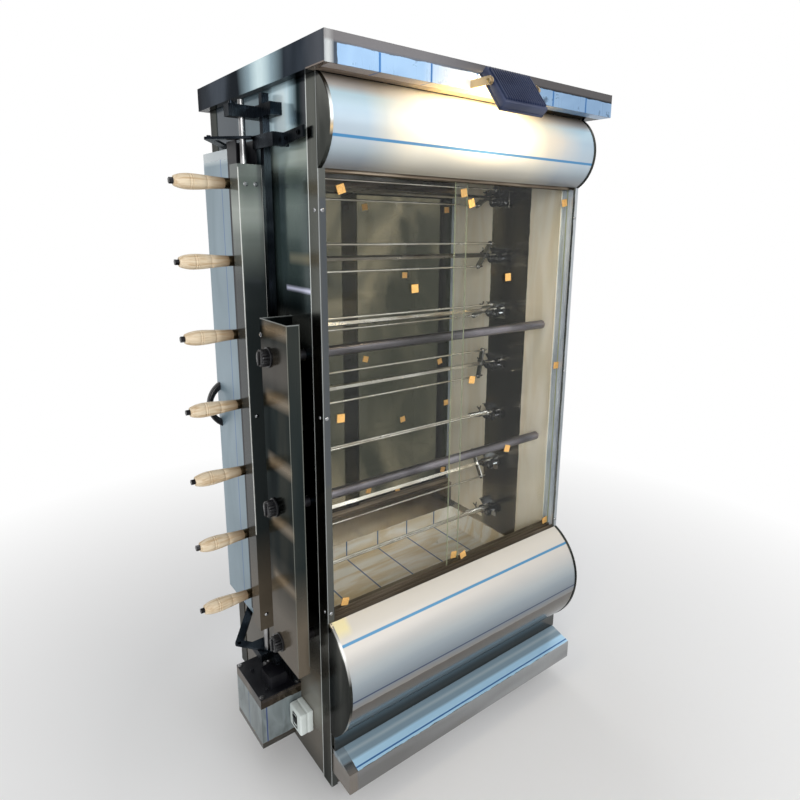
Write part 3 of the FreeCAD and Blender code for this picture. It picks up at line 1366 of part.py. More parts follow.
def make_lamp_bracket():
    """A stirrup from the canopy's front to the lamp's two pivots, with a knob on each."""
    z0, z1 = LAMP_ARM_BASE_Z
    gap = LAMP_ARM_GAP
    t = LAMP_ARM_THICK
    left = LAMP_X[0] - gap
    right = LAMP_X[1] + gap
    pieces = [block(left - t, right + t, -CANOPY_FRONT - t, -CANOPY_FRONT, z0, z1)]
    for x0, x1 in ((left - t, left), (right, right + t)):
        pieces.append(block(x0, x1, LAMP_PIVOT_Y, -CANOPY_FRONT, z0, z1))
        pieces.append(rod(VEC(x0, LAMP_PIVOT_Y, LAMP_PIVOT_Z), AXIS_X, t, LAMP_ARM_HEIGHT / 2.0))
    for x in (left - t - LAMP_KNOB_LENGTH, right + t):
        knob = rod(VEC(x, LAMP_PIVOT_Y, LAMP_PIVOT_Z), AXIS_X, LAMP_KNOB_LENGTH, LAMP_KNOB_RADIUS)
        pieces.append(knob)
    return fused(pieces)


# Screws

def screw_head(start, axis):
    """A low domed screw head standing on a face."""
    return Part.makeCone(SCREW_RADIUS, SCREW_RADIUS * 0.6, SCREW_HEAD, start, axis)


def make_frame_screws():
    """The visible screws on the posts' sides and narrow fronts."""
    heads = []
    for level in SCREW_LEVELS:
        for y in (SCREW_SIDE_INSET, BODY_DEPTH - SCREW_SIDE_INSET):
            heads.append(screw_head(VEC(0, y, level), -AXIS_X))
            heads.append(screw_head(VEC(BODY_WIDTH, y, level), AXIS_X))
        for x in (POST_FRONT_LEG / 2.0, BODY_WIDTH - POST_FRONT_LEG / 2.0):
            heads.append(screw_head(VEC(x, 0, level), -AXIS_Y))
    return group(heads)


def make_all():
    """Every node by name."""
    nodes = {
        "frame_rails": make_frame_rails(),
        "feet": make_feet(),
        "corner_posts": make_corner_posts(),
        "side_panels": make_side_panels(),
        "inner_liners": make_inner_liners(),
        "rear_panels": make_rear_panels(),
        "canopy": make_canopy(),
        "upper_fascia": make_upper_fascia(),
        "lower_fascia": make_lower_fascia(),
        "fascia_end_plates": make_fascia_end_plates(),
        "door_tracks": make_door_tracks(),
        "floor_tray": make_floor_tray(),
        "grease_drawer": make_grease_drawer(),
        "burner_tubes": make_burner_tubes(),
        "gas_manifold": make_gas_manifold(),
        "control_cover": make_control_cover(),
        "spit_supports": make_spit_supports(),
        "support_rollers": make_support_rollers(),
        "drive_shaft": make_drive_shaft(),
        "drive_carrier": make_drive_carrier(),
        "drive_cover": make_drive_cover(),
        "drive_brackets": make_drive_brackets(),
        "motor_box": make_motor_box(),
        "gearmotor": make_gearmotor(),
        "switch_box": make_switch_box(),
        "rocker_switch": make_rocker_switch(),
        "service_door": make_service_door(),
        "door_hinge_pins": make_door_hinge_pins(),
        "service_door_handle": make_service_door_handle(),
        "lamp_housing": make_lamp_housing(),
        "lamp_bracket": make_lamp_bracket(),
        "frame_screws": make_frame_screws(),
    }
    for name in ("front_glass_left", "front_glass_right", "rear_glass_left", "rear_glass_right"):
        nodes[name] = make_glass(name)
    for index, level in enumerate(BURNER_LEVELS):
        nodes["gas_knob_%d" % (index + 1)] = make_gas_knob(level)
    for index in range(SPIT_COUNT):
        nodes["spit_%d" % (index + 1)] = make_spit(index)
        nodes["spit_handle_%d" % (index + 1)] = make_spit_handle(index)
        nodes["spit_clamp_%d" % (index + 1)] = make_spit_clamp(index)
    return nodes


def bottom_center(nodes):
    """The bottom centre of the box round all nodes."""
    box = FreeCAD.BoundBox()
    for shape in nodes.values():
        box.add(shape.optimalBoundingBox(False, False))
    return VEC((box.XMin + box.XMax) / 2.0, (box.YMin + box.YMax) / 2.0, box.ZMin)


def main():
    """Build, move to the origin and export each node."""
    os.makedirs("parts", exist_ok=True)
    nodes = make_all()
    origin = bottom_center(nodes)
    print("origin in the working axes:", origin)
    for name, shape in nodes.items():
        shape.translate(-origin)
        shape.exportStep("parts/%s.step" % name)
        solids = len(shape.Solids)
        print(name, "solids", solids, "valid", shape.isValid(), "volume", round(shape.Volume))


main()
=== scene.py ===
"""A gas chicken rotisserie: finishes for the measured parts, the shaped small pieces, and a plain studio."""

import logging
import math
from dataclasses import dataclass
from enum import Enum
from typing import Sequence, Union

import bmesh
import bpy
from mathutils import Matrix, Quaternion, Vector


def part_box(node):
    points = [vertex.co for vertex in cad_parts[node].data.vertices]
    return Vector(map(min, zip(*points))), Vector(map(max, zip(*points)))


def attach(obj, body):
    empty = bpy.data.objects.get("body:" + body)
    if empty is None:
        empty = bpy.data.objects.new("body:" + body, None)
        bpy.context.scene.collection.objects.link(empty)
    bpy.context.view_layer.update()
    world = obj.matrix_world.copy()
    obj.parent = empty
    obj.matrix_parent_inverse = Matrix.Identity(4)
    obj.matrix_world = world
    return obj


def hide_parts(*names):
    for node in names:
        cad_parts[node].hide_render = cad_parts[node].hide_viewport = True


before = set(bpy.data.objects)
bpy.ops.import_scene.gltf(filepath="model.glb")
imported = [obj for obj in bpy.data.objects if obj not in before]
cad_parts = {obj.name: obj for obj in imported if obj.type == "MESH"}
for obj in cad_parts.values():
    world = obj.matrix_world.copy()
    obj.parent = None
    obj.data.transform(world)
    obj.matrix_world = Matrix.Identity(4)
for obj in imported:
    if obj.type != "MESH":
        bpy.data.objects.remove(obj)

log = logging.getLogger("rotisserie")

MM = 0.001
CABINET = "cabinet"
SPITS = range(1, 8)
KNOBS = range(1, 4)

Colour = tuple[float, float, float]
Span = tuple[float, float]
Point = tuple[float, float, float]
Socket = bpy.types.NodeSocket
Shader = bpy.types.Node
Value = Union[float, Socket]
Piece = bpy.types.Object
Verts = list[bmesh.types.BMVert]

RIGHT: Point = (1.0, 0.0, 0.0)
LEFT: Point = (-1.0, 0.0, 0.0)
FORWARD: Point = (0.0, -1.0, 0.0)
UP: Point = (0.0, 0.0, 1.0)
BOTH_WAYS = (-1.0, 1.0)
WHITE: Colour = (1.0, 1.0, 1.0)

# Widths and heights of what is on the sheet, in metres.
CUT_EDGE = 0.0012
PRINT_EDGE = 0.002
RAGGED_EDGE = 0.0035
GRAIN_HEIGHT = 0.00003

# Features of the sheet's grain, film and waves in a metre.
GRAIN_SCALE = 10.0
CLOUD_SCALE = 3.0
RAGGED_SCALE = 28.0
WAVE_SCALE = 2.2
SWAY_SCALE = 4.0

# Shares and changes of the sheet's finish, of its painted light and of its painted shading.
INK_COVER = 0.95
PAINTED_SHADING_COVER = 0.9
GRAIN_SHADE = 0.35
GRAIN_ROUGHER = 0.1
FILM_ROUGHER = 0.12
PAINTED_LIGHT_METAL = 0.15
PAINTED_LIGHT_SWAY = 0.2
PAINTED_SHADING_SWAY = 0.04

TALL: Point = (1.0, 1.0, 0.7)
GLASS_INDEX = 1.5


class Axis(Enum):
    """The three directions of the cabinet."""

    X = 0
    Y = 1
    Z = 2


@dataclass(frozen=True)
class Axes:
    """The cabinet's axes: millimetres from the left posts' face, the front posts' face and the floor."""

    corner: Vector

    def matrix(self) -> Matrix:
        """The way from these axes to the frame."""
        return Matrix.Translation(self.corner) @ Matrix.Scale(MM, 4)

    def place(self, axis: Axis, value: float) -> float:
        """One coordinate of these axes in the frame, in metres."""
        return self.corner[axis.value] + value * MM

    def box(self, node: str) -> tuple[Vector, Vector]:
        """Lowest and highest corner of a measured part in these axes.

        Args:
            node: Name of the part.

        Returns:
            The two corners in millimetres.
        """
        low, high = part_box(node)
        return (low - self.corner) / MM, (high - self.corner) / MM

    def middle(self, node: str) -> Vector:
        """Centre of a measured part's box in these axes."""
        low, high = self.box(node)
        return (low + high) / 2.0


def cabinet_axes() -> Axes:
    """Reads the cabinet's corner from its four posts."""
    low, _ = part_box("corner_posts")
    return Axes(Vector((low.x, low.y, 0.0)))


AXES = cabinet_axes()


@dataclass(frozen=True)
class Patch:
    """A box in the cabinet's axes, open on each side that isn't given."""

    x: Span | None = None
    y: Span | None = None
    z: Span | None = None

    def spans(self) -> list[tuple[Axis, Span]]:
        """The sides that are given."""
        pairs = ((Axis.X, self.x), (Axis.Y, self.y), (Axis.Z, self.z))
        return [(axis, span) for axis, span in pairs if span is not None]


@dataclass(frozen=True)
class Line:
    """A printed line on the film, level with one coordinate, kept to a patch."""

    axis: Axis
    at: float
    patch: Patch = Patch()
    half: float = 2.5
    ink: Colour = (0.012, 0.12, 0.34)

    def stripe(self) -> Patch:
        """The stretch that the line covers."""
        return Patch(**{self.axis.name.lower(): (self.at - self.half, self.at + self.half)})


@dataclass(frozen=True)
class PaintedLight:
    """A soft-edged stretch of sheet painted paler, darker or warmer: a painted reflection, highlight or
    shade.
    """

    patch: Patch
    colour: Colour
    soft: float = 60.0
    strength: float = 0.9
    face: Patch = Patch()


class Graph:
    """Writes one material's node tree."""

    def __init__(self, name: str) -> None:
        """Starts an empty tree.

        Args:
            name: Name of the material.
        """
        self.material = bpy.data.materials.new(name)
        self.material.use_nodes = True
        self.tree = self.material.node_tree
        self.tree.nodes.clear()
        self.output = self.tree.nodes.new("ShaderNodeOutputMaterial")
        self.place = self.node("TexCoord").outputs["Object"]
        self.split = self.node("SeparateXYZ")
        self.plug(self.split.inputs[0], self.place)

    def node(self, kind: str, **settings: object) -> bpy.types.Node:
        """Adds a shader node.

        Args:
            kind: The node's type without its ShaderNode prefix.
            settings: Attributes to set on it.

        Returns:
            The node.
        """
        made = self.tree.nodes.new("ShaderNode" + kind)
        for key, value in settings.items():
            setattr(made, key, value)
        return made

    def plug(self, socket: Socket, value: object) -> None:
        """Links a socket, or sets its value.

        Args:
            socket: The socket.
            value: Another node's socket, a number, a direction or a colour.
        """
        if isinstance(value, bpy.types.NodeSocket):
            self.tree.links.new(value, socket)
        elif socket.type == "RGBA":
            socket.default_value = (*value, 1.0)
        else:
            socket.default_value = value

    def axis(self, axis: Axis) -> Socket:
        """One object coordinate, in metres."""
        return self.split.outputs[axis.value]

    def math(self, operation: str, *values: Value, clamp: bool = False) -> Socket:
        """One step of arithmetic.

        Args:
            operation: Name of the operation.
            values: Its inputs.
            clamp: Whether the result is kept between 0 and 1.

        Returns:
            The result.
        """
        made = self.node("Math", operation=operation, use_clamp=clamp)
        for socket, value in zip(made.inputs, values):
            self.plug(socket, value)
        return made.outputs[0]

    def mix(self, factor: Value, first: object, second: object) -> Socket:
        """A mix of two colours.

        Args:
            factor: Share of the second.
            first: Colour or socket.
            second: Colour or socket.

        Returns:
            The mixed colour.
        """
        made = self.node("Mix", data_type="RGBA")
        self.plug(made.inputs[0], factor)
        self.plug(made.inputs[6], first)
        self.plug(made.inputs[7], second)
        return made.outputs[2]

    def between(self, factor: Value, first: float, second: float) -> Socket:
        """A number that goes from first to second as factor goes from 0 to 1."""
        return self.math("MULTIPLY_ADD", factor, second - first, first)

    def noise(
        self, scale: float, stretch: Point = (1.0, 1.0, 1.0), detail: float = 2.0, warp: float = 0.0
    ) -> Socket:
        """Cloudy noise on the object's coordinates.

        Args:
            scale: Features in a metre.
            stretch: Extra scale along each axis.
            detail: Octaves.
            warp: Distortion.

        Returns:
            A factor from 0 to 1.
        """
        mapping = self.node("Mapping")
        self.plug(mapping.inputs["Vector"], self.place)
        mapping.inputs["Scale"].default_value = stretch
        made = self.node("TexNoise")
        self.plug(made.inputs["Vector"], mapping.outputs[0])
        made.inputs["Scale"].default_value = scale
        made.inputs["Detail"].default_value = detail
        made.inputs["Distortion"].default_value = warp
        return made.outputs["Fac"]

    def ramp(self, factor: Socket, stops: Sequence[tuple[float, Colour]]) -> Socket:
        """A colour ramp.

        Args:
            factor: Where on the ramp.
            stops: Places and colours.

        Returns:
            The colour.
        """
        made = self.node("ValToRGB")
        self.plug(made.inputs[0], factor)
        points = made.color_ramp.elements
        for point, (position, colour) in ((points[0], stops[0]), (points[-1], stops[-1])):
            point.position = position
            point.color = (*colour, 1.0)
        for position, colour in stops[1:-1]:
            points.new(position).color = (*colour, 1.0)
        return made.outputs[0]

    def bump(self, height: Socket, distance: float, under: Socket | None = None) -> Socket:
        """A bumped normal.

        Args:
            height: Height factor.
            distance: Height of a full step, in metres.
            under: A normal that it adds to.

        Returns:
            The normal.
        """
        made = self.node("Bump")
        made.inputs["Distance"].default_value = distance
        self.plug(made.inputs["Height"], height)
        if under is not None:
            self.plug(made.inputs["Normal"], under)
        return made.outputs[0]

    def band(self, coordinate: Socket, low: float, high: float, soft: float) -> Socket:
        """1 between two coordinates and 0 outside, with soft edges.

        Args:
            coordinate: The coordinate.
            low: Lower edge, in metres.
            high: Upper edge, in metres.
            soft: Width of an edge, in metres.

        Returns:
            The mask.
        """
        rise = self.math("MULTIPLY_ADD", coordinate, 1.0 / soft, 0.5 - low / soft, clamp=True)
        fall = self.math("MULTIPLY_ADD", coordinate, -1.0 / soft, 0.5 + high / soft, clamp=True)
        return self.math("MULTIPLY", rise, fall)

    def patch(self, patch: Patch, soft: float, ragged: Value = 0.0) -> Socket:
        """A mask that is 1 inside a patch.

        Args:
            patch: The patch.
            soft: Width of its edges, in metres.
            ragged: Shift of the coordinates, for an uneven edge.

        Returns:
            The mask.
        """
        mask = None
        for axis, (low, high) in patch.spans():
            coordinate = self.math("ADD", self.axis(axis), ragged)
            edge = self.band(coordinate, AXES.place(axis, low), AXES.place(axis, high), soft)
            mask = edge if mask is None else self.math("MULTIPLY", mask, edge)
        return mask if mask is not None else self.math("ADD", 1.0, 0.0)

    def surface(self, colour: object, **sockets: object) -> bpy.types.Material:
        """Ends the tree in one shader.

        Args:
            colour: Base colour.
            sockets: Further inputs, their names with _ for a space.

        Returns:
            The material.
        """
        return self.end(self.shader(colour, **sockets))

    def shader(self, colour: object, **sockets: object) -> Shader:
        """A principled shader.

        Args:
            colour: Base colour.
            sockets: Further inputs, as for surface.

        Returns:
            The shader.
        """
        shader = self.node("BsdfPrincipled")
        self.plug(shader.inputs["Base Color"], colour)
        for key, value in sockets.items():
            self.plug(shader.inputs[key.replace("_", " ").title().replace("Ior", "IOR")], value)
        return shader

    def blend(self, factor: Value, first: Shader, second: Shader) -> Shader:
        """A mix of two shaders.

        Args:
            factor: Share of the second.
            first: One shader.
            second: The other.

        Returns:
            The mixed shader.
        """
        made = self.node("MixShader")
        self.plug(made.inputs[0], factor)
        self.plug(made.inputs[1], first.outputs[0])
        self.plug(made.inputs[2], second.outputs[0])
        return made

    def end(self, shader: Shader) -> bpy.types.Material:
        """Ends the tree in a shader and gives its material."""
        self.plug(self.output.inputs["Surface"], shader.outputs[0])
        return self.material


class Finish:
    """A finish that makes its material once."""

    made: dict["Finish", bpy.types.Material] = {}

    def write(self) -> bpy.types.Material:
        """Writes the material's nodes."""
        raise NotImplementedError

    def material(self) -> bpy.types.Material:
        """Makes the material when it is first asked for.

        Returns:
            The material.
        """
        if self not in Finish.made:
            Finish.made[self] = self.write()
        return Finish.made[self]


@dataclass(frozen=True)
class Steel(Finish):
    """Rolled stainless sheet: painted reflection streaks that drift over it, a fine grain, a slow waviness,
    and any film on it.
    """

    name: str
    # deep, tone and bright are the painted reflection streaks' tones, dark where the sheet stands in for
    # mirrored dark surroundings; deep also darkens the grain.
    deep: Colour = (0.03, 0.032, 0.036)
    tone: Colour = (0.42, 0.43, 0.44)
    bright: Colour = (0.85, 0.87, 0.9)
    drift: Point = (3.0, 3.0, 0.6)
    spread: Span = (0.36, 0.66)
    rough: float = 0.16
    wave: float = 0.004
    grain: Point = (40.0, 40.0, 1.5)
    films: tuple[Patch, ...] = ()
    film: Colour = (0.74, 0.78, 0.84)
    film_shade: Colour = (0.5, 0.55, 0.62)
    clouds: Span = (0.35, 0.6)
    lines: tuple[Line, ...] = ()
    # Painted reflections, highlights and shade laid over the sheet.
    painted_lights: tuple[PaintedLight, ...] = ()
    # Painted shading by height: heights and tones from the lower edge up.
    fade: tuple[tuple[float, Colour], ...] = ()
    sheen: float = 0.25
    rim: float = 1.0

    def write(self) -> bpy.types.Material:
        """Writes bare steel with its painted reflection streaks, then lays the film, the painted light and
        shade, and the printed lines over it.

        Returns:
            The material.
        """
        g = Graph(self.name)
        grain = g.noise(GRAIN_SCALE, self.grain, 3.0)
        # Painted reflection streaks, darkened a little by the grain.
        colour = g.mix(g.between(grain, 0.0, GRAIN_SHADE), self.painted_reflection_streaks(g), self.deep)
        mask: Value = 0.0
        if self.films:
            mask = self.film_mask(g)
            low, high = self.clouds
            cloud = g.noise(CLOUD_SCALE, self.drift, 2.0, 1.0)
            colour = g.mix(mask, colour, g.ramp(cloud, ((low, self.film_shade), (high, self.film))))
        # Painted shading by height, then the painted reflections, highlights and shade.
        colour, haze = self.painted_lighting(g, self.painted_height_shading(g, colour))
        waves = g.bump(g.noise(WAVE_SCALE, TALL, 1.0), self.wave)
        grainy = g.between(grain, self.rough, self.rough + GRAIN_ROUGHER)
        return g.surface(
            self.printed(g, colour, mask),
            metallic=g.math("MULTIPLY", g.between(mask, 1.0, self.sheen), g.between(haze, 1.0, PAINTED_LIGHT_METAL)),
            roughness=g.math("MULTIPLY_ADD", mask, FILM_ROUGHER, grainy),
            specular_tint=(self.rim, self.rim, self.rim),
            normal=g.bump(grain, GRAIN_HEIGHT, waves),
        )

    def painted_reflection_streaks(self, g: Graph) -> Socket:
        """The bare sheet's painted reflection streaks: dark and pale tones that drift over it in place of
        what it mirrors.

        Args:
            g: The material's graph.

        Returns:
            The colour.
        """
        low, high = self.spread
        stops = ((low, self.deep), ((low + high) / 2.0, self.tone), (high, self.bright))
        return g.ramp(g.noise(1.0, self.drift, 2.0, 0.6), stops)

    def printed(self, g: Graph, colour: Socket, film: Value) -> Socket:
        """Prints the lines over a colour.

        Args:
            g: The material's graph.
            colour: The sheet's colour without them.
            film: 1 where the film is, as they are printed on it alone.

        Returns:
            The colour.
        """
        for line in self.lines:
            ink = g.math("MULTIPLY", g.patch(line.stripe(), CUT_EDGE), g.patch(line.patch, PRINT_EDGE))
            cover = g.math("MULTIPLY", g.math("MULTIPLY", ink, film), INK_COVER)
            colour = g.mix(cover, colour, line.ink)
        return colour

    def painted_height_shading(self, g: Graph, colour: Socket) -> Socket:
        """Lays painted shading from the sheet's lower to its upper edge over a colour, lighter where light
        falls on it and darker where it is in shade.

        Args:
            g: The material's graph.
            colour: The sheet's colour without it.

        Returns:
            The colour.
        """
        if not self.fade:
            return colour
        low, high = self.fade[0][0], self.fade[-1][0]
        reach = (high - low) * MM
        level = g.math("MULTIPLY_ADD", g.axis(Axis.Z), 1.0 / reach, -AXES.place(Axis.Z, low) / reach)
        sway = g.between(g.noise(2.5, detail=1.0), -PAINTED_SHADING_SWAY, PAINTED_SHADING_SWAY)
        level = g.math("ADD", level, sway, clamp=True)
        stops = [((z - low) / (high - low), tone) for z, tone in self.fade]
        return g.mix(PAINTED_SHADING_COVER, colour, g.ramp(level, stops))

    def painted_lighting(self, g: Graph, colour: Socket) -> tuple[Socket, Value]:
        """Lays the soft-edged painted reflections, highlights and shade over a colour.

        Args:
            g: The material's graph.
            colour: The sheet's colour without them.

        Returns:
            The colour and the share of it that the painted light covers.
        """
        # haze is the share under painted light, where the sheet is made less metallic.
        haze: Value = 0.0
        for glow in self.painted_lights:
            soft = glow.soft * MM
            sway = g.between(g.noise(SWAY_SCALE, detail=1.0), -PAINTED_LIGHT_SWAY * soft, PAINTED_LIGHT_SWAY * soft)
            share = g.math("MULTIPLY", g.patch(glow.patch, soft, sway), glow.strength)
            share = g.math("MULTIPLY", share, g.patch(glow.face, MM))
            colour = g.mix(share, colour, glow.colour)
            haze = g.math("MAXIMUM", haze, share)
        return colour, haze

    def film_mask(self, g: Graph) -> Socket:
        """1 where the film still covers the steel, with slightly uneven edges.

        Args:
            g: The material's graph.

        Returns:
            The mask.
        """
        ragged = g.between(g.noise(RAGGED_SCALE, detail=3.0), -RAGGED_EDGE, RAGGED_EDGE)
        mask = g.patch(self.films[0], CUT_EDGE, ragged)
        for patch in self.films[1:]:
            mask = g.math("MAXIMUM", mask, g.patch(patch, CUT_EDGE, ragged))
        return mask


@dataclass(frozen=True)
class Coat(Finish):
    """Paint, plastic or rubber: a colour that varies a little, with a fine texture."""

    name: str
    colour: Colour
    worn: Colour
    rough: float = 0.4
    scale: float = 60.0
    relief: float = 0.0001
    metal: float = 0.0
    shine: float = 0.5
    wear: Span = (0.42, 0.72)
    rough_change: Span = (-0.08, 0.12)
    patch_size: float = 8.0
    texture: float = 12.0

    def write(self) -> bpy.types.Material:
        """Writes the coat's nodes.

        Returns:
            The material.
        """
        g = Graph(self.name)
        patchy = g.noise(self.scale / self.patch_size, detail=4.0)
        fine = g.noise(self.scale * self.texture, detail=3.0)
        fresh, worn = self.wear
        colour = g.ramp(patchy, ((fresh, self.colour), (worn, self.worn)))
        smooth, coarse = self.rough_change
        rough = g.between(patchy, self.rough + smooth, self.rough + coarse)
        return g.surface(
            colour,
            metallic=self.metal,
            roughness=rough,
            specular_ior_level=self.shine,
            normal=g.bump(fine, self.relief),
        )


@dataclass(frozen=True)
class SpitSteel(Finish):
    """The spits' bar steel: bright in the cooking space, dark and oily on the drive side."""

    name: str = "spit_steel"
    clean: Colour = (0.62, 0.6, 0.55)
    heated: Colour = (0.3, 0.26, 0.2)
    oily: Colour = (0.03, 0.03, 0.032)
    collar: Colour = (0.14, 0.1, 0.055)
    drive_end: float = -22.0
    collar_span: Span = (-95.0, -65.0)
    collar_edge: float = 0.0005
    blotch_scale: float = 9.0
    blotches: Span = (0.4, 0.72)
    brushing: float = 300.0
    brush_height: float = 0.00004
    rough: Span = (0.14, 0.44)

    def write(self) -> bpy.types.Material:
        """Writes the steel with its heat tint and the oily end.

        Returns:
            The material.
        """
        g = Graph(self.name)
        blotch = g.noise(self.blotch_scale, (1.0, 4.0, 4.0), 3.0)
        low, high = self.blotches
        colour = g.ramp(blotch, ((low, self.clean), (high, self.heated)))
        edge = AXES.place(Axis.X, self.drive_end)
        drive = g.math("LESS_THAN", g.axis(Axis.X), edge)
        colour = g.mix(drive, colour, self.oily)
        ferrule = g.patch(Patch(x=self.collar_span), self.collar_edge)
        colour = g.mix(ferrule, colour, self.collar)
        brushed = g.bump(g.noise(self.brushing, (0.1, 1.0, 1.0), 2.0), self.brush_height)
        return g.surface(colour, metallic=1.0, roughness=g.between(blotch, *self.rough), normal=brushed)


@dataclass(frozen=True)
class Wood(Finish):
    """Turned pale wood: growth lines along the handle, pores, and painted shade over the inner end."""

    name: str = "turned_wood"
    pale: Colour = (0.8, 0.68, 0.5)
    grain: Colour = (0.58, 0.42, 0.25)
    inner_end_shade: Colour = (0.16, 0.1, 0.05)
    inner_shade_from: float = -150.0
    inner_shade_to: float = -98.0
    inner_shade_cover: float = 0.85
    ring_scale: float = 160.0
    broad_scale: float = 22.0
    pore_scale: float = 900.0
    ring_height: float = 0.0002
    pore_depth: float = 0.00018
    rings: Span = (0.36, 0.56)
    rough: Span = (0.62, 0.48)

    def write(self) -> bpy.types.Material:
        """Writes the grain, the pores and the painted shade.

        Returns:
            The material.
        """
        g = Graph(self.name)
        lines = g.noise(self.ring_scale, (0.07, 1.0, 1.0), 4.0, 0.8)
        broad = g.noise(self.broad_scale, (0.35, 1.0, 1.0), 3.0)
        low, high = self.rings
        colour = g.ramp(lines, ((low, self.grain), (high, self.pale)))
        colour = g.mix(g.between(broad, 0.0, 0.35), colour, self.grain)
        # Painted shade: the grip darkens towards its inner end.
        start = AXES.place(Axis.X, self.inner_shade_from)
        reach = (self.inner_shade_to - self.inner_shade_from) * MM
        along = g.math("MULTIPLY_ADD", g.axis(Axis.X), 1.0 / reach, -start / reach)
        cloud = g.math("MULTIPLY_ADD", broad, 0.7, g.math("SUBTRACT", along, 0.45), clamp=True)
        colour = g.mix(g.math("MULTIPLY", cloud, self.inner_shade_cover), colour, self.inner_end_shade)
        pores = g.noise(self.pore_scale, (0.12, 1.0, 1.0), 2.0)
        normal = g.bump(pores, self.pore_depth, g.bump(lines, self.ring_height))
        return g.surface(colour, roughness=g.between(lines, *self.rough), normal=normal)


@dataclass(frozen=True)
class Pane(Finish):
    """Clear sheet glass: clear faces with a mirror gloss and pale green edges."""

    name: str
    tint: Colour = (0.985, 0.99, 0.985)
    murk: Colour = (0.93, 0.94, 0.93)
    edge: Colour = (0.42, 0.46, 0.3)
    mirror: Colour = (0.9, 0.92, 0.92)
    haze: float = 0.02
    gloss: float = 0.6
    ground: float = 0.25
    edge_cover: float = 0.8
    smears: Span = (0.4, 0.62)
    painted_dark_reflection: Patch | None = None
    painted_dark_reflection_soft: float = 0.22
    painted_dark_reflection_cover: float = 0.75

    def write(self) -> bpy.types.Material:
        """Writes the clear faces and the ground edges.

        Returns:
            The material.
        """
        g = Graph(self.name)
        fresnel = g.node("Fresnel")
        inside = g.node("NewGeometry").outputs["Backfacing"]
        g.plug(fresnel.inputs["IOR"], g.between(inside, GLASS_INDEX, 1.0 / GLASS_INDEX))
        gloss = g.shader(self.mirror, metallic=1.0, roughness=self.haze)
        face = g.blend(g.math("MULTIPLY", fresnel.outputs[0], self.gloss), self.clear(g), gloss)
        sides = g.node("SeparateXYZ")
        g.plug(sides.inputs[0], g.node("TexCoord").outputs["Normal"])
        on_edge = g.math("LESS_THAN", g.math("ABSOLUTE", sides.outputs[Axis.Y.value]), 0.5)
        rim = g.shader(self.edge, roughness=self.ground)
        return g.end(g.blend(g.math("MULTIPLY", on_edge, self.edge_cover), face, rim))

    def clear(self, g: Graph) -> Shader:
        """The see-through faces with their smears, and the stretch darkened by a painted dark reflection.

        Args:
            g: The material's graph.

        Returns:
            The shader.
        """
        low, high = self.smears
        tint = g.ramp(g.noise(3.2, TALL, 4.0, 1.2), ((low, self.murk), (high, self.tint)))
        # A painted dark reflection darkens one stretch towards the murk's colour.
        if self.painted_dark_reflection is not None:
            share = g.math("MULTIPLY", g.patch(self.painted_dark_reflection, self.painted_dark_reflection_soft), self.painted_dark_reflection_cover)
            tint = g.mix(share, tint, self.murk)
        clear = g.node("BsdfTransparent")
        g.plug(clear.inputs[0], tint)
        return clear


@dataclass(frozen=True)
class Cork(Finish):
    """Pressed cork of the pads between the panes."""

    name: str = "cork"
    light: Colour = (0.9, 0.52, 0.17)
    dark: Colour = (0.62, 0.32, 0.09)
    crumb_scale: float = 700.0
    spot_scale: float = 500.0
    spots: Span = (0.34, 0.5)
    crumb_height: float = 0.0004

    def write(self) -> bpy.types.Material:
        """Writes the crumbs.

        Returns:
            The material.
        """
        g = Graph(self.name)
        crumbs = g.node("TexVoronoi")
        g.plug(crumbs.inputs["Vector"], g.place)
        crumbs.inputs["Scale"].default_value = self.crumb_scale
        low, high = self.spots
        colour = g.ramp(g.noise(self.spot_scale, detail=3.0), ((low, self.dark), (high, self.light)))
        return g.surface(colour, roughness=0.85, normal=g.bump(crumbs.outputs["Distance"], self.crumb_height))


@dataclass(frozen=True)
class LitGlass(Finish):
    """The floodlight's glass, lit from behind."""

    name: str = "lit_glass"
    glow: Colour = (1.0, 0.8, 0.48)
    pale: Colour = (1.0, 0.9, 0.7)
    strength: float = 42.0
    rib_scale: float = 90.0
    rib_height: float = 0.0005

    def write(self) -> bpy.types.Material:
        """Writes a ribbed glass with its glow.

        Returns:
            The material.
        """
        g = Graph(self.name)
        ribs = g.node("TexWave", bands_direction="X")
        g.plug(ribs.inputs["Vector"], g.place)
        ribs.inputs["Scale"].default_value = self.rib_scale
        colour = g.mix(g.between(ribs.outputs["Fac"], 0.0, 0.3), self.glow, self.pale)
        return g.surface(
            colour,
            roughness=0.2,
            emission_color=self.glow,
            emission_strength=self.strength,
            normal=g.bump(ribs.outputs["Fac"], self.rib_height),
        )


